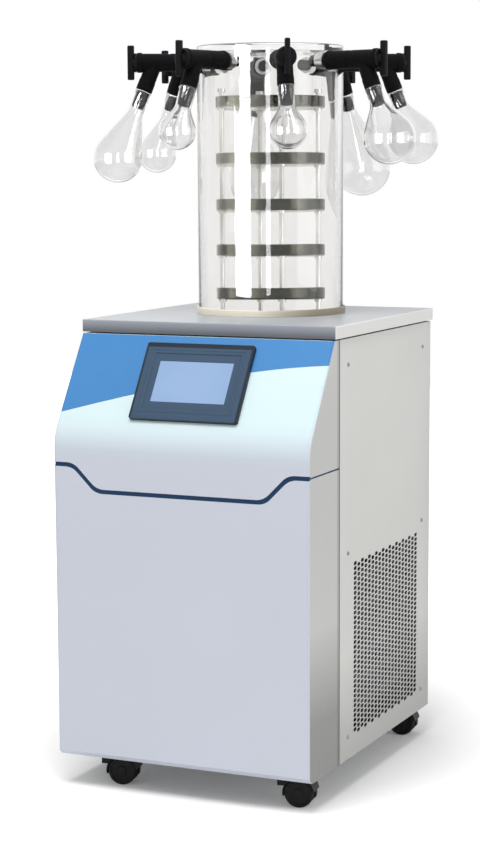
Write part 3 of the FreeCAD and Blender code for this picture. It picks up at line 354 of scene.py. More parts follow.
def repaint(finish, mask, head, foot=None, heights=None, stretch=None):
    """Lays a grained second coat, which may change with height from a foot to a head colour.

    With heights but no foot colour, the coat under it shows at the lower height.
    """
    tree = finish.node_tree
    coords = next(node for node in tree.nodes if node.type == "TEX_COORD").outputs["Object"]
    socket = tree.nodes["Principled BSDF"].inputs["Base Color"]
    under = socket.links[0].from_socket
    coat = head
    if heights:
        coat = blend_colours(tree, ramp_along(tree, coords, "Z", *heights), foot or under, head)
    grain = between(tree, noise(tree, coords, 700.0, detail=3.0, stretch=stretch), 0.0, 0.12)
    coat = blend_colours(tree, grain, coat, shade(head, 0.7))
    where = ramp_along(tree, coords, **mask)
    tree.links.new(blend_colours(tree, where, under, coat), socket)
    metal = tree.nodes["Principled BSDF"].inputs["Metallic"]
    if metal.default_value > 0:
        covered = between(tree, where, metal.default_value, 0.0, 0.0, 1.0)
        if metal.is_linked:
            covered = calculate(tree, "MINIMUM", metal.links[0].from_socket, covered)
        tree.links.new(covered, metal)

# %% Tones of the enamel and of the sides
HAIR = 0.2 * MM
FILM_BLUE = srgb(54, 125, 186)
FOLD_SHADE_HEIGHTS = (0.15, 0.31)

# Painted light: the slanted face is painted a lighter, cyan-white tone for the light it catches
# from above.
slanted_part = dict(axis="Z", low=0.575, high=0.65)
repaint(front_enamel, slanted_part, srgb(208, 226, 230), srgb(206, 228, 230), heights=(0.6, 0.8))
# The film is wrapped round the panel's sides, so its blue goes on over the enamel there.
film = nodes["blue_overlay"]
film_points = [film.matrix_world @ vert.co for vert in film.data.vertices]
for side in (-1, 1):
    film_end = max(side * point.x for point in film_points)
    film_foot = min(point.z for point in film_points if side * point.x > film_end - MM)
    corner = dict(axis="X", low=side * (film_end - HAIR), high=side * (film_end + HAIR))
    repaint(front_enamel, corner, FILM_BLUE, heights=(film_foot - HAIR, film_foot + HAIR))
# The turned edges have a grey tone of their own, painted darker towards their foot as painted
# shade. The band at their rear bend is painted darker still, as painted shade.
turned_edge = dict(axis="X", low=side_x - 0.9 * MM, high=side_x - 0.3 * MM, mirrored=True)
rear_bend_shade = dict(axis="Y", low=fascia_high.y - 10.5 * MM, high=fascia_high.y - 6.0 * MM)
for mask, head, foot in ((turned_edge, srgb(192, 192, 190), srgb(126, 126, 124)),
                         (rear_bend_shade, srgb(162, 162, 160), srgb(106, 106, 104))):
    repaint(front_enamel, mask, head, foot, FOLD_SHADE_HEIGHTS, drawn_out("Z", 0.03))
# Painted shade: the side and back sheets are painted darker towards their foot.
painted_shade_foot = dict(axis="Z", low=0.24, high=0.1)
repaint(grey_powder, painted_shade_foot, srgb(178, 178, 175))
print("enamel and powder coat toned")

# %% Brushed stainless
BRUSH_MARK = 0.6 * MM


def brushed_finish(name, colour, roughness, along, streak=0.05, metal=1.0):
    """Metal with its grain drawn out along one axis."""
    finish, tree, shader, coords = new_finish(name, Metallic=metal)
    lines = noise(tree, coords, 1.0 / BRUSH_MARK, detail=4.0, stretch=drawn_out(along))
    broad = noise(tree, coords, 7.0, detail=2.0)
    streaked = blend_colours(tree, between(tree, lines, 0.0, 1.0), shade(colour, 1 - streak),
                             shade(colour, 1 + streak))
    drifted = blend_colours(tree, between(tree, broad, 0.0, 0.24), streaked, shade(colour, 0.9))
    tree.links.new(drifted, shader.inputs["Base Color"])
    rough = between(tree, lines, roughness - 0.06, roughness + 0.08)
    tree.links.new(rough, shader.inputs["Roughness"])
    emboss(tree, shader, lines, 0.3, 0.02 * MM)
    return finish


top_steel = brushed_finish("top_steel", srgb(184, 187, 191), 0.4, along="X", metal=0.2)
pot_steel = brushed_finish("pot_steel", srgb(190, 192, 194), 0.3, along="Z", streak=0.04)
LIP_START, LIP_END, LIP_FALL = 2.2 * MM, 1.2 * MM, 18.0 * MM
# Painted reflection: the front lip is painted dark grey without metal, lightest at its top edge,
# for the dark surroundings its steel would mirror.
front_lip_shade = dict(axis="Y", low=plate_low.y + LIP_START, high=plate_low.y + LIP_END)
repaint(top_steel, front_lip_shade, srgb(160, 165, 173), srgb(96, 100, 106),
        (plate_top - LIP_FALL, plate_top), drawn_out("X"))
# Painted light: the side lips are painted a light flat grey without metal, for the bright light
# their steel would mirror.
side_lip_light = dict(axis="X", low=plate_high.x - LIP_START, high=plate_high.x - LIP_END, mirrored=True)
repaint(top_steel, side_lip_light, srgb(222, 222, 220), srgb(220, 220, 218),
        (plate_low.z, plate_top), drawn_out("Y"))
dress(top_steel, "top_plate")
dress(pot_steel, "cold_trap", "vacuum_port", "drain_lever")
print("sheet metal dressed")

# %% [markdown]
# ## Film, strip and plastics
#
# The blue field is a printed film under a thin gloss, so it gets a coat and almost no grain.
# The strip in the groove is an extruded profile: its grain runs along it, from left to right.
# The gasket's silicone is painted darker on one side as painted shade, by a second coat there.

# %% Film, strip, rubber and moulded parts
slate_plastic = grained_finish(
    "slate_plastic", srgb(55, 76, 98), roughness=0.42, grain=0.7, depth=0.04, drift=0.04,
    speckle=0.05, Specular_IOR_Level=0.3)
black_plastic = grained_finish(
    "black_plastic", srgb(15, 15, 17), roughness=0.36, grain=0.8, depth=0.03, drift=0.08,
    speckle=0.08, rough_range=0.08, Specular_IOR_Level=0.12)
black_rubber = grained_finish(
    "black_rubber", srgb(13, 13, 15), roughness=0.6, grain=1.0, depth=0.06, drift=0.12,
    speckle=0.12, rough_range=0.1, Sheen_Weight=0.015, Sheen_Roughness=0.5, Specular_IOR_Level=0.06)
cream_silicone = grained_finish(
    "cream_silicone", srgb(232, 226, 210), roughness=0.5, grain=2.0, depth=0.03, drift=0.04,
    speckle=0.03, Subsurface_Weight=0.25, Subsurface_Scale=0.003)
wheel_tread = grained_finish(
    "wheel_tread", srgb(24, 24, 25), roughness=0.62, grain=1.6, depth=0.1, drift=0.2, speckle=0.15,
    rough_range=0.12, Specular_IOR_Level=0.2)
red_rocker = grained_finish(
    "red_rocker", srgb(176, 34, 30), roughness=0.25, grain=1.5, depth=0.02, drift=0.05,
    speckle=0.03, Coat_Weight=0.4)
dress(black_plastic, "power_inlet", "fan_motor", "fan_rotor")
# Painted shade: the half of the gasket that lies to +X is painted darker.
shaded_gasket_side = dict(axis="X", low=0.025, high=0.112)
repaint(cream_silicone, shaded_gasket_side, srgb(146, 138, 120))
dress(red_rocker, "power_switch")
print("plastics and rubber dressed")

# %% Plated steel, and the finishes that only CAD pieces wear
plated_steel = grained_finish(
    "plated_steel", srgb(150, 152, 155), roughness=0.28, grain=0.9, depth=0.02, drift=0.1,
    speckle=0.08, Metallic=1.0)
bright_plate = grained_finish(
    "bright_plate", srgb(224, 225, 226), roughness=0.2, grain=0.9, depth=0.01, drift=0.05,
    speckle=0.04, Metallic=1.0)
dress(plated_steel, "panel_screws")
for name, colour, roughness, grain, depth, drift, speckle, others, worn_by in (
        ("blue_film", FILM_BLUE, 0.3, 3.0, 0.01, 0.035, 0.006,
         dict(rough_range=0.03, Coat_Weight=0.3, Coat_Roughness=0.1), ["blue_overlay"]),
        ("navy_strip", srgb(14, 54, 90), 0.4, 1.2, 0.02, 0.05, 0.03,
         dict(stretch=drawn_out("X", 0.05), Specular_IOR_Level=0.3), ["stripe_strip"]),
        ("black_nylon", srgb(19, 19, 21), 0.45, 1.2, 0.06, 0.1, 0.08,
         dict(rough_range=0.1, Specular_IOR_Level=0.2), numbered("caster_fork", 4)),
        ("zinc_sheet", srgb(168, 171, 174), 0.42, 6.0, 0.03, 0.08, 0.06,
         dict(Metallic=0.9), ["base_pan", "caster_plates"]),
        ("light_alloy", srgb(205, 206, 206), 0.3, 0.8, 0.02, 0.05, 0.05,
         dict(Metallic=0.9), ["port_fittings"]),
        ("plated_brass", srgb(196, 170, 112), 0.32, 1.0, 0.03, 0.08, 0.06,
         dict(Metallic=1.0), ["drain_valve"]),
        ("copper_tube", srgb(190, 122, 88), 0.35, 4.0, 0.02, 0.12, 0.08,
         dict(Metallic=1.0), ["trap_coil"]),
        ("fin_alloy", srgb(184, 187, 190), 0.4, 2.0, 0.04, 0.08, 0.06,
         dict(Metallic=0.9), ["condenser"]),
        ("compressor_enamel", srgb(28, 28, 30), 0.3, 3.0, 0.08, 0.1, 0.05,
         dict(Coat_Weight=0.3), ["compressor"]),
        ("yellow_foam", srgb(222, 208, 160), 0.85, 3.0, 0.6, 0.06, 0.1, {}, ["trap_insulation"]),
        ("case_plastic", srgb(128, 130, 134), 0.5, 1.2, 0.05, 0.04, 0.04, {}, ["control_box"])):
    dress(grained_finish(name, colour, roughness, grain, depth, drift, speckle, **others), *worn_by)
print("CAD pieces dressed")

# %% [markdown]
# ## Polished trays and rods
#
# The trays are spun from thin polished stainless. Polished steel takes its look from what
# stands round it, so its colour carries painted reflections: soft darker bands that run up and
# down it, and a darker half to +X. A noise read with Z flattened gives bands that are the same
# at every height of one wall.

# %% Polished stainless
def polished_finish(name, bright, dim, bands, painted_dark_half=0.0):
    """The half that lies to +X is painted darker, a painted reflection, blended towards the dim
    colour by up to this share.
    """
    finish, tree, shader, coords = new_finish(name, Metallic=1.0)
    upright = noise(tree, coords, bands, detail=1.5, stretch=drawn_out("Z", 0.08))
    fine = noise(tree, coords, 900.0, detail=2.0, stretch=drawn_out("Z", 0.05))
    # Painted reflections: bands between the dim and the bright colour, and a darker half to +X.
    painted_bands = blend_colours(tree, between(tree, upright, 0.0, 1.0, 0.4, 0.6), dim, bright)
    painted_dark_side = between(tree, ramp_along(tree, coords, "X", -0.02, 0.02), 0.0, painted_dark_half, 0.0, 1.0)
    painted_bands = blend_colours(tree, painted_dark_side, painted_bands, shade(dim, 1.2))
    final = blend_colours(tree, between(tree, fine, 0.1, 0.15), painted_bands, shade(bright, 0.8))
    tree.links.new(final, shader.inputs["Base Color"])
    tree.links.new(between(tree, fine, 0.14, 0.24), shader.inputs["Roughness"])
    emboss(tree, shader, fine, 0.2, 0.01 * MM)
    return finish


# The trays' dark bands and dark half, and the rods' paler bands, are painted reflections.
tray_steel = polished_finish("tray_steel", srgb(172, 172, 158), srgb(20, 22, 15), 20.0, painted_dark_half=0.85)
rod_steel = polished_finish("rod_steel", srgb(228, 228, 226), srgb(186, 186, 182), 60.0)
dress(rod_steel, "shelf_rack")

# %% [markdown]
# ## Clear parts
#
# The chamber is cast acrylic and the flasks are blown glass. Both are full transmission with
# their own index of refraction. The walls in the meshes are real walls, with an inside and an
# outside face, so the edges darken by themselves where light passes along the wall.

# %% Acrylic, glass and the display
def clear_finish(name, colour, ior, roughness, ripple, depth):
    finish, tree, shader, coords = new_finish(name, Transmission_Weight=1.0, IOR=ior)
    wave = noise(tree, coords, ripple, detail=2.0)
    tint = blend_colours(tree, between(tree, wave, 0.0, 1.0), colour, shade(colour, 0.985))
    tree.links.new(tint, shader.inputs["Base Color"])
    tree.links.new(between(tree, wave, 0.0, roughness), shader.inputs["Roughness"])
    emboss(tree, shader, wave, 0.15, depth)
    return finish


clear_acrylic = clear_finish("clear_acrylic", srgb(246, 245, 244), ior=1.36, roughness=0.03,
                             ripple=9.0, depth=0.4 * MM)
blown_glass = clear_finish("blown_glass", srgb(241, 241, 241), ior=1.47, roughness=0.02,
                           ripple=14.0, depth=0.6 * MM)

# The display is lit from behind: a nearly even pale blue with a very fine grid of cells.
lit_display, tree, shader, coords = new_finish("lit_display", Base_Color=srgb(30, 34, 44),
                                               Emission_Strength=0.82)
cells = noise(tree, coords, 2500.0, detail=1.0)
broad = noise(tree, coords, 12.0, detail=1.0)
lit = blend_colours(tree, between(tree, broad, 0.0, 1.0), srgb(156, 190, 235),
                    srgb(164, 197, 240))
final = blend_colours(tree, between(tree, cells, 0.0, 0.12), lit, srgb(140, 166, 214))
tree.links.new(final, shader.inputs["Emission Color"])
tree.links.new(between(tree, cells, 0.1, 0.16), shader.inputs["Roughness"])
dress(lit_display, "screen_glass")
print("clear parts and display finished")

# %% [markdown]
# ## Perforated side sheets
#
# The air vent low in each side is punched sheet: short round-ended slots that lie level, in
# upright lines, every other line half a step lower. A bump map would look flat at a slant, so
# the holes are real. One long hexagon of sheet with a hole in it tiles the plane exactly as the
# lines do. A border of blank hexagons lets four straight cuts trim the field to a clean
# rectangle, which then fills a window cut in a plain sheet.

# %% Punch one hexagon and repeat it
HOLE_PITCH = 8.6 * MM
HOLE_R = 3.5 * MM
HOLE_LONG = 14.4 * MM
SHEET = 1.0 * MM
HOLES_IN_LINE = 35
LINES = 19
LINE_STEP = 16.76 * MM


def clock_angles(face):
    """Even angles round the face's middle, in its corners' order, from its first corner's side."""
    first = face.verts[0].co - face.calc_center_median()
    second = face.verts[1].co - face.calc_center_median()
    count = len(face.verts)
    sense = 1 if first.cross(second).z > 0 else -1
    start = round(math.atan2(first.y / LINE_STEP, first.x / HOLE_PITCH) * count / (2 * math.pi))
    return [2 * math.pi * (start + sense * step) / count for step in range(count)]


def turn_down(bm, edges):
    """Draws a wall as deep as the sheet is thick down from its edges."""
    wall = bmesh.ops.extrude_edge_only(bm, edges=edges)["geom"]
    bmesh.ops.translate(bm, vec=(0, 0, -SHEET), verts=verts_in(wall))


def add_hexagon(bm, holed):
    """A flat hexagon drawn out along Y, blank or with a round-ended slot punched in it."""
    radius = HOLE_PITCH / math.sqrt(3)
    verts = bmesh.ops.create_circle(bm, cap_ends=True, segments=6, radius=radius)["verts"]
    bmesh.ops.scale(bm, vec=(1.0, LINE_STEP / (radius * 1.5), 1.0), verts=verts)
    face = verts[0].link_faces[0]
    bmesh.ops.subdivide_edges(bm, edges=face.edges[:], cuts=1)
    cell = set(face.verts)
    if holed:
        bmesh.ops.inset_individual(bm, faces=[face], thickness=HOLE_PITCH * 0.1)
        for vert, turn in zip(face.verts, clock_angles(face)):
            end = (HOLE_LONG / 2 - HOLE_R) * round(math.sin(turn), 3)
            straight = Y * math.copysign(HOLE_LONG / 2 - HOLE_R, end) if end else Vector()
            vert.co = Vector((math.cos(turn), math.sin(turn), 0)) * HOLE_R + straight
        brim = face.edges[:]
        bmesh.ops.delete(bm, geom=[face], context="FACES_ONLY")
        turn_down(bm, brim)
        cell = gather_linked(cell)
    return list(cell)


def spread_out(bm, verts, step, count):
    """Copies what the vertices hold, count times, each one step further."""
    geom = set(verts)
    for vert in verts:
        geom |= set(vert.link_edges) | set(vert.link_faces)
    for number in range(1, count + 1):
        copy = bmesh.ops.duplicate(bm, geom=list(geom))["geom"]
        bmesh.ops.translate(bm, vec=step * number, verts=verts_in(copy))


def punched_line(holed):
    """One line: a blank hexagon at each end, and holed or blank ones between."""
    line = bmesh.new()
    middle = add_hexagon(line, holed)
    bmesh.ops.translate(line, vec=(HOLE_PITCH, 0, 0), verts=middle)
    spread_out(line, middle, X * HOLE_PITCH, HOLES_IN_LINE - 1)
    for place in (0, HOLES_IN_LINE + 1):
        bmesh.ops.translate(line, vec=(HOLE_PITCH * place, 0, 0), verts=add_hexagon(line, False))
    mesh = bpy.data.meshes.new("punched_line")
    line.to_mesh(mesh)
    line.free()
    return mesh


def punched_field():
    """All lines, every other one moved by half a pitch, trimmed to a rectangle and stood up."""
    field = bmesh.new()
    holed, blank = punched_line(True), punched_line(False)
    for number in range(LINES + 2):
        line = blank if number in (0, LINES + 1) else holed
        before = set(field.verts)
        field.from_mesh(line)
        shift = Vector((HOLE_PITCH / 2 * (number % 2), LINE_STEP * number, 0))
        bmesh.ops.translate(field, vec=shift, verts=[v for v in field.verts if v not in before])
    for mesh in (holed, blank):
        bpy.data.meshes.remove(mesh)
    centre = Vector((HOLE_PITCH * (HOLES_IN_LINE + 1.5) / 2, LINE_STEP * (LINES + 1) / 2, 0))
    bmesh.ops.translate(field, vec=-centre, verts=field.verts)
    bmesh.ops.remove_doubles(field, verts=field.verts, dist=10 * TOUCHING)
    quarter_turn = Matrix.Rotation(math.pi / 2, 3, "Z")
    bmesh.ops.rotate(field, cent=(0, 0, 0), matrix=quarter_turn, verts=field.verts)
    half = Vector((LINE_STEP * (LINES + 1) / 2, HOLE_PITCH * (HOLES_IN_LINE + 1) / 2, 0))
    for normal in (X, -X, Y, -Y):
        at = Vector((half.x * normal.x, half.y * normal.y, 0))
        geom = field.verts[:] + field.edges[:] + field.faces[:]
        bmesh.ops.bisect_plane(field, geom=geom, dist=TOUCHING / 10, plane_co=at,
                               plane_no=normal, clear_outer=True)
    return field, half


vent_field, vent_half = punched_field()
print("punched field", len(vent_field.faces), "faces, half size", [round(n, 4) for n in vent_half])

# %% Set the field in a side sheet
VENT_MIDDLE_Y = 64.5 * MM
VENT_MIDDLE_Z = 243.0 * MM
SEAM = 2.8 * MM  # the open joint between the front and a side sheet
sheet_front = fascia_high.y + SEAM
# Painted shade: the side sheet's front edge, in the open joint, is painted dark.
joint_shade = dict(axis="Y", low=sheet_front + 0.8 * MM, high=sheet_front + 0.3 * MM)
repaint(grey_powder, joint_shade, srgb(104, 104, 102))


def perforated_side(name, side):
    """A flat sheet with a window, the punched field in it, and a thin turned edge all round."""
    middle = Vector((side * side_x, 0, 0))
    centre = Vector((side * (mid_y + VENT_MIDDLE_Y), VENT_MIDDLE_Z, 0))
    bm = vent_field.copy()
    bmesh.ops.translate(bm, vec=centre, verts=bm.verts)
    low = Vector((min(side * sheet_front, side * rear_y), body_low, 0))
    high = Vector((max(side * sheet_front, side * rear_y), body_top, 0))
    size = high - low
    plain = bmesh.ops.create_grid(bm, x_segments=1, y_segments=1, size=0.5)["verts"]
    bmesh.ops.scale(bm, vec=(size.x, size.y, 1), verts=plain)
    bmesh.ops.translate(bm, vec=(low + high) / 2, verts=plain)
    rim = plain[0].link_faces[0].edges[:]
    turn_down(bm, rim)
    round_edges(bm, rim, 0.6 * MM, segments=2)

    def plain_faces():
        """The faces of the plain sheet, far larger than any in the punched field."""
        return [face for face in bm.faces if face.calc_area() > 0.02 * size.x * size.y]

    for normal in (X, -X, Y, -Y):
        reach = abs(normal.dot(vent_half))
        geom = {item for face in plain_faces() for item in (*face.verts, *face.edges, face)}
        bmesh.ops.bisect_plane(bm, geom=list(geom), dist=TOUCHING / 10,
                               plane_co=centre + normal * reach, plane_no=normal)
    window = min(plain_faces(), key=lambda face: (face.calc_center_median() - centre).length)
    bmesh.ops.delete(bm, geom=[window], context="FACES_ONLY")
    turn = Matrix(((0, 0, side), (side, 0, 0), (0, 1, 0))).to_4x4()
    bmesh.ops.transform(bm, matrix=Matrix.Translation(middle) @ turn, verts=bm.verts)
    stands_for = (f"{name.split('_')[0]}_side_panel",)
    piece = add_piece(name, bm, grey_powder, stands_for=stands_for, whole=False)
    return piece


for name, side in (("left_punched_sheet", -1), ("right_punched_sheet", 1)):
    print(name, len(perforated_side(name, side).data.polygons), "faces")
vent_field.free()

# %% [markdown]
# ## The touch screen's frame
#
# A moulded frame stands a few millimetres proud of the slanted panel. It is one block whose
# front face is inset again and again, up over a thin ridge and down to the glass. It is drawn
# flat and laid on the slope by one matrix.

# %% Lay out the slope and mould the frame
FOLD_Z = 613.5 * MM
SLANT_RUN = 108.0 * MM
slant_angle = math.atan2(body_top - FOLD_Z, SLANT_RUN)
slope = Matrix.Translation((0, front_y, FOLD_Z)) @ Matrix.Rotation(slant_angle, 4, "X")

SCREEN_S = 108.5 * MM
FRAME_W, FRAME_H, FRAME_T = 200.0 * MM, 145.0 * MM, 7.0 * MM
SCREEN_W, SCREEN_H = 137.0 * MM, 77.0 * MM
# Each step of the face in millimetres: how far in, and how far up or down.
FRAME_STEPS = ((13.0, 0.0), (0.5, 0.45), (0.5, 0.0), (0.5, -0.45), (5.0, -0.3), (1.2, -1.4),
               (8.5, -0.2))
GLASS_STEP = (0.4, -1.2)


def step_in(bm, face, thickness, depth):
    bmesh.ops.inset_region(bm, faces=[face], thickness=thickness * MM, depth=depth * MM,
                           use_even_offset=True)


bm = bmesh.new()
soft_block(bm, (FRAME_W, FRAME_H, FRAME_T), (0, 0, FRAME_T / 2), radius=0)
top = max(bm.faces, key=lambda face: face.calc_center_median().z)
for step in FRAME_STEPS:
    step_in(bm, top, *step)
span = [max(abs(vert.co[axis]) for vert in top.verts) for axis in (0, 1)]
fit = (SCREEN_W / 2 / span[0], SCREEN_H / 2 / span[1], 1)
bmesh.ops.scale(bm, vec=fit, verts=top.verts[:])
step_in(bm, top, *GLASS_STEP)
bmesh.ops.delete(bm, geom=[top], context="FACES_ONLY")
corners = [e for e in bm.edges if abs(e.verts[0].co.z - e.verts[1].co.z) > FRAME_T * 0.9]
round_edges(bm, corners, 4.0 * MM, segments=5)
outer = [e for e in bm.edges if all(abs(v.co.z - FRAME_T) < TOUCHING for v in e.verts)
         and any(abs(f.normal.z) < 0.1 for f in e.link_faces)]
round_edges(bm, outer, 1.2 * MM, segments=3)
place = slope @ Matrix.Translation((0, SCREEN_S, 0))
bmesh.ops.transform(bm, matrix=place, verts=bm.verts)
frame_piece = add_piece("screen_frame", bm, slate_plastic, stands_for=("screen_bezel",),
                        crease=28.0, whole=False)

# The outer few millimetres of the frame's face are darker than the rest.
EDGE_BLACK = srgb(26, 36, 48)
EDGE_FROM, EDGE_TO = 5.0 * MM, 3.5 * MM
for side in (-1, 1):
    low, high = [FOLD_Z + (SCREEN_S + side * (FRAME_H / 2 - inset)) * math.sin(slant_angle)
                 for inset in (EDGE_FROM, EDGE_TO)]
    repaint(slate_plastic, dict(axis="Z", low=low, high=high), EDGE_BLACK)
side_edge = dict(axis="X", low=FRAME_W / 2 - EDGE_FROM, high=FRAME_W / 2 - EDGE_TO, mirrored=True)
repaint(slate_plastic, side_edge, EDGE_BLACK)
print(frame_piece.name, "tilted", round(math.degrees(slant_angle), 1), "degrees")

# %% [markdown]
# ## The drying chamber
#
# The chamber is a clear tube with a flat disc bonded on top, standing on a cream gasket. The
# line that is spun here goes along the inside and back along the outside, so the wall and the
# lid have their real thickness, which is what makes clear plastic look like plastic.

# %% Spin the chamber and its gasket
WALL = 8.0 * MM
LID = 12.0 * MM
GASKET_BORE = 104.5 * MM
on_axis = Matrix.Translation(chamber_axis)


def turned_piece(name, line, steps, place, finish, stands_for, crease, closed=False):
    """Spins one outline into a whole piece of the cabinet's body."""
    bm = bmesh.new()
    spin_outline(bm, line, steps, place, closed)
    return add_piece(name, bm, finish, stands_for=stands_for, crease=crease)


bottom, top = tube_low.z, tube_high.z
inner = chamber_r - WALL
line = outline([(0, top - LID, 0), (inner, top - LID, 1.2 * MM), (inner, bottom, 0.6 * MM),
                (chamber_r, bottom, 0.6 * MM), (chamber_r, top, 2.0 * MM), (0, top, 0)])
shell = turned_piece("chamber_shell", line, 160, on_axis, clear_acrylic,
                     ("acrylic_chamber",), 50.0)

inner, outer = GASKET_BORE, (gasket_high.x - gasket_low.x) / 2
low, high, foot = gasket_low.z, gasket_high.z, tube_low.z
grip = chamber_r + 0.1 * MM
line = outline([(inner, low, 0.8 * MM), (outer, low, 0.8 * MM), (outer, high, 1.8 * MM),
                (grip, high, 0.6 * MM), (grip, foot, 0), (inner, foot, 1.2 * MM)], closed=True)
ring = turned_piece("gasket_ring", line, 128, on_axis, cream_silicone,
                    ("chamber_gasket",), 60.0, closed=True)
for made in (shell, ring):
    print(made.name, len(made.data.polygons), "faces")

# %% [markdown]
# ## Trays
#
# Each shelf is a shallow spun tray with a rounded foot and a rolled rim. The same line serves
# all five, at the heights of their CAD nodes.

# %% Spin the five trays
TRAY_WALL = 1.2 * MM

for number in range(1, 6):
    low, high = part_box(f"shelf_{number}")
    outer, height = (high.x - low.x) / 2, high.z - low.z
    inner = outer - TRAY_WALL
    line = outline([(0, TRAY_WALL, 0), (inner, TRAY_WALL, 2.2 * MM), (inner, height, 0.5 * MM),
                    (outer, height, 0.5 * MM), (outer, 0, 3.0 * MM), (0, 0, 0)])
    place = Matrix.Translation(chamber_axis + Z * low.z)
    piece = turned_piece(f"tray_{number}", line, 120, place, tray_steel,
                         (f"shelf_{number}",), 50.0)
    print(piece.name, "at", round(low.z, 4))

# %% [markdown]
# ## Valves round the chamber
#
# Each of the eight ports carries a moulded rubber tee. Its barrel and branch are turned shapes,
# so they are two spun lines that run into each other, as the moulding does. The plug in the
# barrel's end has a cap and a wing to turn it by, and rides on the valve's own joint.

# %% Mould the rubber tees
BRANCH_BACK = 31.0 * MM
BRANCH_TILT = math.radians(22.0)


def port_places(number):
    """The matrices that carry a barrel's outline and a branch's to their place."""
    joint = joints[f"valve_{number}_turn"]
    end, out = Vector(joint["pos_m"]), Vector(joint["axis"])
    down = out * math.sin(BRANCH_TILT) - Z * math.cos(BRANCH_TILT)
    return aim(end, out), aim(end - out * BRANCH_BACK, down)


# Corners of the turned parts: radius, height and rounding, in millimetres.
BARREL = [(0, -144, 0), (5.5, -144, 0), (9.5, -144, 0.8), (9.5, -105.8, 0), (16.8, -105.8, 0.8),
          (16.8, -101.5, 0.8), (16, -100.5, 0.4), (16, -60, 0.5), (15.4, -58.5, 0.4),
          (15.4, -55.5, 0.4), (16, -54, 0.5), (16, -9.5, 0.8), (17.5, -8, 0.8), (17.5, 0, 1.6),
          (9.6, 0, 1), (9.6, -3, 0)]
BRANCH = [(0, 4, 0), (14, 4, 0), (14, 34, 0.8), (14.6, 36, 0.8), (14.6, 53, 1.2), (12.2, 53, 0.5),
          (11.9, 56, 0.5), (12.3, 60, 0.5), (11.6, 64, 0.5), (11.9, 68, 0.5), (11.2, 72, 0.5),
          (11.4, 76, 0.5), (10.4, 85, 0.5), (5.5, 85, 1), (5.5, 70, 0)]

for number in range(1, 9):
    bm = bmesh.new()
    for corners, place in zip((BARREL, BRANCH), port_places(number)):
        spin_outline(bm, outline(corners, MM), 48, place)
    tee = add_piece(f"rubber_tee_{number}", bm, black_rubber, stands_for=("valve_bodies",),
                    crease=40.0)
print("eight rubber tees")

# %% Turn the plugs and their wings
CAP = [(0, -3, 0), (9.4, -3, 0), (9.4, 0.5, 0), (16.5, 0.5, 0.8), (16.5, 5, 1.5), (8.5, 5.4, 1),
       (7.5, 9, 1.5), (0, 10, 0)]
WING_SIZE, WING_AT = Vector((60.0, 9.0, 12.0)) * MM, Vector((0, 0, 11.0)) * MM
FLUTE_SIZE, FLUTE_AT = Vector((1.6, 3.0, 3.4)) * MM, Vector((15.9, 0, 2.8)) * MM
FLUTES = 12

for number in range(1, 9):
    place, _branch_place = port_places(number)
    bm = bmesh.new()
    spin_outline(bm, outline(CAP, MM), 48, place)
    soft_block(bm, WING_SIZE, WING_AT, 2.4 * MM, segments=4, place=place)
    for flute in range(FLUTES):
        turn = Matrix.Rotation(2 * math.pi * flute / FLUTES, 4, "Z")
        soft_block(bm, FLUTE_SIZE, FLUTE_AT, 0.5 * MM, place=place @ turn)
    plug = add_piece(f"turning_plug_{number}", bm, black_plastic, body=f"valve_{number}",
                     stands_for=(f"valve_handle_{number}",))
print("eight turning plugs")

# %% [markdown]
# ## Blown flasks
#
# A flask is blown from tube: a straight neck with a rolled lip, a shoulder that opens out in
# one smooth sweep and a round bottom. The outline follows the CAD neck, cone and ball, with
# the corners melted away, and goes back up the inside to give the glass its 2 mm wall.

# %% Blow the flasks
NECK_R = 14.0 * MM
GLASS = 2.0 * MM
MOUTH = 53.3 * MM
SHOULDER_R = 30.0 * MM
BALL_STEPS = 22
# The lip, as steps out from the neck and down from the mouth, in millimetres.
LIP = [(0, 4.4), (0.9, 3.2), (1.5, 1.9), (1.0, 0.5), (-0.4, 0), (-1.7, 0.5)]
# Each flask's bulb radius and its reach from the barrel's axis, in millimetres.
SMALL, MEDIUM, TALL, LONG, LARGE = (32, 131), (45, 145), (36, 169.8), (44, 178.5), (54, 199)
FLASKS = (SMALL, MEDIUM, MEDIUM, LARGE, LARGE, TALL, LONG, SMALL)
LONG_REACH, LONG_LEAN, SHORT_LEAN = 160.0 * MM, 21.5, 32.0


def flask_line(bulb, reach, inset):
    """Neck, shoulder and ball as points of radius and distance from the barrel's axis."""
    neck, ball = NECK_R - inset, bulb - inset
    lean = math.radians(LONG_LEAN if reach > LONG_REACH else SHORT_LEAN)
    tangent = Vector((ball * math.cos(lean), reach - ball * math.sin(lean)))
    join = tangent.y - (tangent.x - neck) / math.tan(lean)
    line = round_corner((neck, MOUTH), (neck, join), tangent, SHOULDER_R, 8)
    for step in range(BALL_STEPS + 1):
        angle = lean - (lean + math.pi / 2) * step / BALL_STEPS
        line.append((max(0.0, ball * math.cos(angle)), reach - ball * math.sin(angle)))
    return line


for number in range(1, 9):
    _barrel_place, place = port_places(number)
    bulb, reach = [size * MM for size in FLASKS[number - 1]]
    outside, inside = [flask_line(bulb, reach, inset) for inset in (0.0, GLASS)]
    lip = [(NECK_R + out * MM, MOUTH + along * MM) for out, along in LIP]
    flask = turned_piece(f"blown_flask_{number}", outside[::-1] + lip + inside, 72, place,
                         blown_glass, (f"flask_{number}",), 80.0)
    flask.visible_glossy = False
    print(flask.name, len(flask.data.polygons), "faces")

# %% [markdown]
# ## Casters
#
# Each caster is a twin-wheel one with a hood. The wheels are turned again here, with a round
# tread, a dished side and a small bright axle cap, and ride on the wheels' own spin joint.

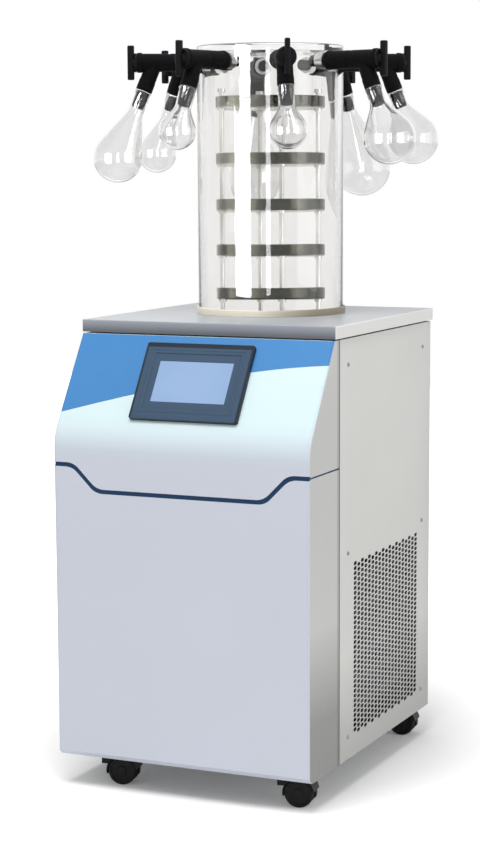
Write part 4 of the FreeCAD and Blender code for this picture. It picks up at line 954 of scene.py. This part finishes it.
# %% Turn the wheels and their axle caps
WHEEL = [(0, 5.2, 0), (25, 5.2, 2.2), (25, 17.5, 3.6), (20, 17.5, 0.8), (18.5, 15.6, 0.6),
         (9, 15.6, 0.6), (8, 17.5, 0.6), (0, 17.5, 0)]
AXLE = [(4.0, -6, 0), (4.0, 6, 0)]
AXLE_CAP = [(0, 17.0, 0), (5.2, 17.0, 0), (5.2, 17.3, 0), (3.5, 17.48, 0), (0, 17.5, 0)]

for number in range(1, 5):
    joint = joints[f"wheels_{number}_spin"]
    hub, axle = Vector(joint["pos_m"]), Vector(joint["axis"])
    bm, caps = bmesh.new(), bmesh.new()
    for direction in (axle, -axle):
        spin_outline(bm, outline(WHEEL, MM), 48, aim(hub, direction))
        spin_outline(caps, outline(AXLE_CAP, MM), 24, aim(hub, direction))
    spin_outline(bm, outline(AXLE, MM), 24, aim(hub, axle))
    wheels = add_piece(f"wheel_pair_{number}", bm, wheel_tread, body=f"wheels_{number}",
                       stands_for=(f"caster_wheels_{number}",))
    cap_piece = add_piece(f"axle_caps_{number}", caps, bright_plate, body=f"wheels_{number}")
print("four wheel pairs")

# %% [markdown]
# ## Back and drain details
#
# The back sheet is held by round-headed screws, three down each edge and down the middle. The
# drain lever has a soft sleeve for the finger. Both are small, but the back is seen too.

# %% Screws down the back and a sleeve on the lever
HEAD = [(0, 0, 0), (3.6, 0, 0.3), (3.2, 1.5, 0.8), (0, 2.0, 0)]
SLOT_SIZE, SLOT_AT = Vector((4.0, 0.9, 0.6)) * MM, Vector((0, 0, 1.9)) * MM
FROM_SIDE, FROM_END = 12.0 * MM, 14.0 * MM
SLEEVE_LONG, SLEEVE_THICK = 34.0 * MM, 5.4 * MM

bm = bmesh.new()
for x in (FROM_SIDE - side_x, 0.0, side_x - FROM_SIDE):
    for z in (body_low + FROM_END, (body_low + body_top) / 2, body_top - FROM_END):
        place = aim(Vector((x, rear_y, z)), Y)
        spin_outline(bm, outline(HEAD, MM), 20, place)
        soft_block(bm, SLOT_SIZE, SLOT_AT, 0, place=place)
screws = add_piece("back_screws", bm, plated_steel)

low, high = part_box("drain_lever")
bm = bmesh.new()
size = Vector((high.x - low.x, SLEEVE_LONG, SLEEVE_THICK))
centre = Vector(((low.x + high.x) / 2, high.y - SLEEVE_LONG / 2, high.z - 2.1 * MM))
soft_block(bm, size, centre, 1.8 * MM, segments=4)
sleeve = add_piece("lever_sleeve", bm, red_rocker, body="drain_handle")
print(screws.name, sleeve.name)

# %% [markdown]
# ## Floor, lamps and camera
#
# The floor and the world are white to the camera, and the floor keeps the machine's shadow.
# A large lamp high in front lights the slanted panel and the front, one overhead the top, and
# one to the right the side. Two tall lamps, which light only the clear parts and show only in
# their gloss, put upright bands on the tube.

# %% Lay the floor
WHITE = (1.0, 1.0, 1.0, 1.0)
FLOOR_WHITE = (0.95, 0.95, 0.95, 1.0)

# It glows to the camera, less under the machine than further out.
bm = bmesh.new()
bmesh.ops.create_grid(bm, x_segments=1, y_segments=1, size=6.0)
mesh = bpy.data.meshes.new("floor")
bm.to_mesh(mesh)
bm.free()
floor = bpy.data.objects.new("floor", mesh)
bpy.context.scene.collection.objects.link(floor)
finish, tree, shader, coords = new_finish("floor_white", Base_Color=FLOOR_WHITE, Roughness=1.0,
                                          Specular_IOR_Level=0.0, Emission_Color=WHITE)
away = tree.nodes.new("ShaderNodeVectorMath")
away.operation = "LENGTH"
tree.links.new(coords, away.inputs[0])
rays = tree.nodes.new("ShaderNodeLightPath").outputs
seen = calculate(tree, "MAXIMUM", rays["Is Camera Ray"], rays["Is Transmission Ray"])
glow = between(tree, away.outputs["Value"], 0.08, 1.0, 0.3, 1.1)
tree.links.new(calculate(tree, "MULTIPLY", seen, glow), shader.inputs["Emission Strength"])
floor.data.materials.append(finish)

# %% Light the room
# Soft light on the machine, and plain white to the camera, in gloss and through glass.
ROOM_LIGHT = 0.5
world = bpy.data.worlds.new("studio")
bpy.context.scene.world = world
world.use_nodes = True
tree = world.node_tree
soft, white = tree.nodes["Background"], tree.nodes.new("ShaderNodeBackground")
for background, level in ((soft, ROOM_LIGHT), (white, 1.0)):
    background.inputs["Color"].default_value = WHITE
    background.inputs["Strength"].default_value = level
rays = tree.nodes.new("ShaderNodeLightPath").outputs
seen = calculate(tree, "MAXIMUM", rays["Is Camera Ray"], rays["Is Glossy Ray"])
seen = calculate(tree, "MAXIMUM", seen, rays["Is Transmission Ray"])
mixed = tree.nodes.new("ShaderNodeMixShader")
tree.links.new(seen, mixed.inputs["Fac"])
tree.links.new(soft.outputs["Background"], mixed.inputs[1])
tree.links.new(white.outputs["Background"], mixed.inputs[2])
tree.links.new(mixed.outputs["Shader"], tree.nodes["World Output"].inputs["Surface"])


CAMERA_YAW = math.radians(24.37)
BAND_HEIGHT, BAND_AWAY, BAND_TALL = 1.0, 2.5, 1.7


def soft_box(name, swing, away, height, wide, tall, power, target):
    """A rectangular lamp, swung to the viewer's left of the camera's line by an angle."""
    lamp = bpy.data.lights.new(name, "AREA")
    lamp.shape = "RECTANGLE"
    lamp.size, lamp.size_y, lamp.energy = wide, tall, power
    box = bpy.data.objects.new(name, lamp)
    bpy.context.scene.collection.objects.link(box)
    angle = CAMERA_YAW - math.radians(swing)
    stand = chamber_axis + Vector((math.sin(angle), -math.cos(angle), 0)) * away + Z * height
    box.location = stand
    box.rotation_euler = (target - stand).to_track_quat("-Z", "Y").to_euler()
    return box


def reflected_band(name, swing, wide, glow):
    """A tall lamp that draws an upright white band in the gloss of the clear parts."""
    power = glow * math.pi * wide * BAND_TALL
    band = soft_box(name, swing, BAND_AWAY, BAND_HEIGHT, wide, BAND_TALL, power,
                    chamber_axis + Z * BAND_HEIGHT)
    band.visible_diffuse = band.visible_transmission = False
    band.light_linking.receiver_collection = band_catchers


band_catchers = bpy.data.collections.new("band_catchers")
for name in ("chamber_shell", *numbered("blown_flask", 8)):
    band_catchers.objects.link(bpy.data.objects[name])
chamber_middle = chamber_axis + Z * (tube_low.z + tube_high.z) / 2
panel_top = chamber_axis + Z * body_top
front_box = soft_box("front_box", swing=24, away=1.3, height=3.0, wide=1.6, tall=1.2, power=55.0,
                     target=panel_top)
front_box.visible_glossy = False
soft_box("top_box", swing=10, away=0.4, height=2.9, wide=1.6, tall=1.6, power=4.0,
         target=chamber_middle)
soft_box("fill_box", swing=-60, away=2.8, height=1.2, wide=1.8, tall=1.8, power=20.0,
         target=chamber_middle)
reflected_band("wide_band", swing=44, wide=1.15, glow=36.0)
reflected_band("narrow_band", swing=4, wide=0.3, glow=20.0)
print("floor, world and five lamps")

# %% Place the camera
CAMERA_AT = (1.5444, -3.4750, 1.0756)
CAMERA_DOWN, CAMERA_ROLL = math.radians(8.16), math.radians(-0.29)
LENS, SENSOR = 90.3, 36.0
SHIFT_X, SHIFT_Y = -0.0117021, 0.0479905

data = bpy.data.cameras.new("studio_camera")
data.sensor_fit = "AUTO"
data.sensor_width, data.lens = SENSOR, LENS
data.shift_x, data.shift_y = SHIFT_X, SHIFT_Y
camera = bpy.data.objects.new("studio_camera", data)
bpy.context.scene.collection.objects.link(camera)
turn = Matrix.Rotation(CAMERA_YAW, 4, "Z")
turn @= Matrix.Rotation(math.pi / 2 - CAMERA_DOWN, 4, "X")
turn @= Matrix.Rotation(CAMERA_ROLL, 4, "Z")
camera.matrix_world = Matrix.Translation(CAMERA_AT) @ turn
bpy.context.scene.camera = camera
print("camera at", CAMERA_AT)
bpy.context.scene.view_settings.view_transform = "Standard"
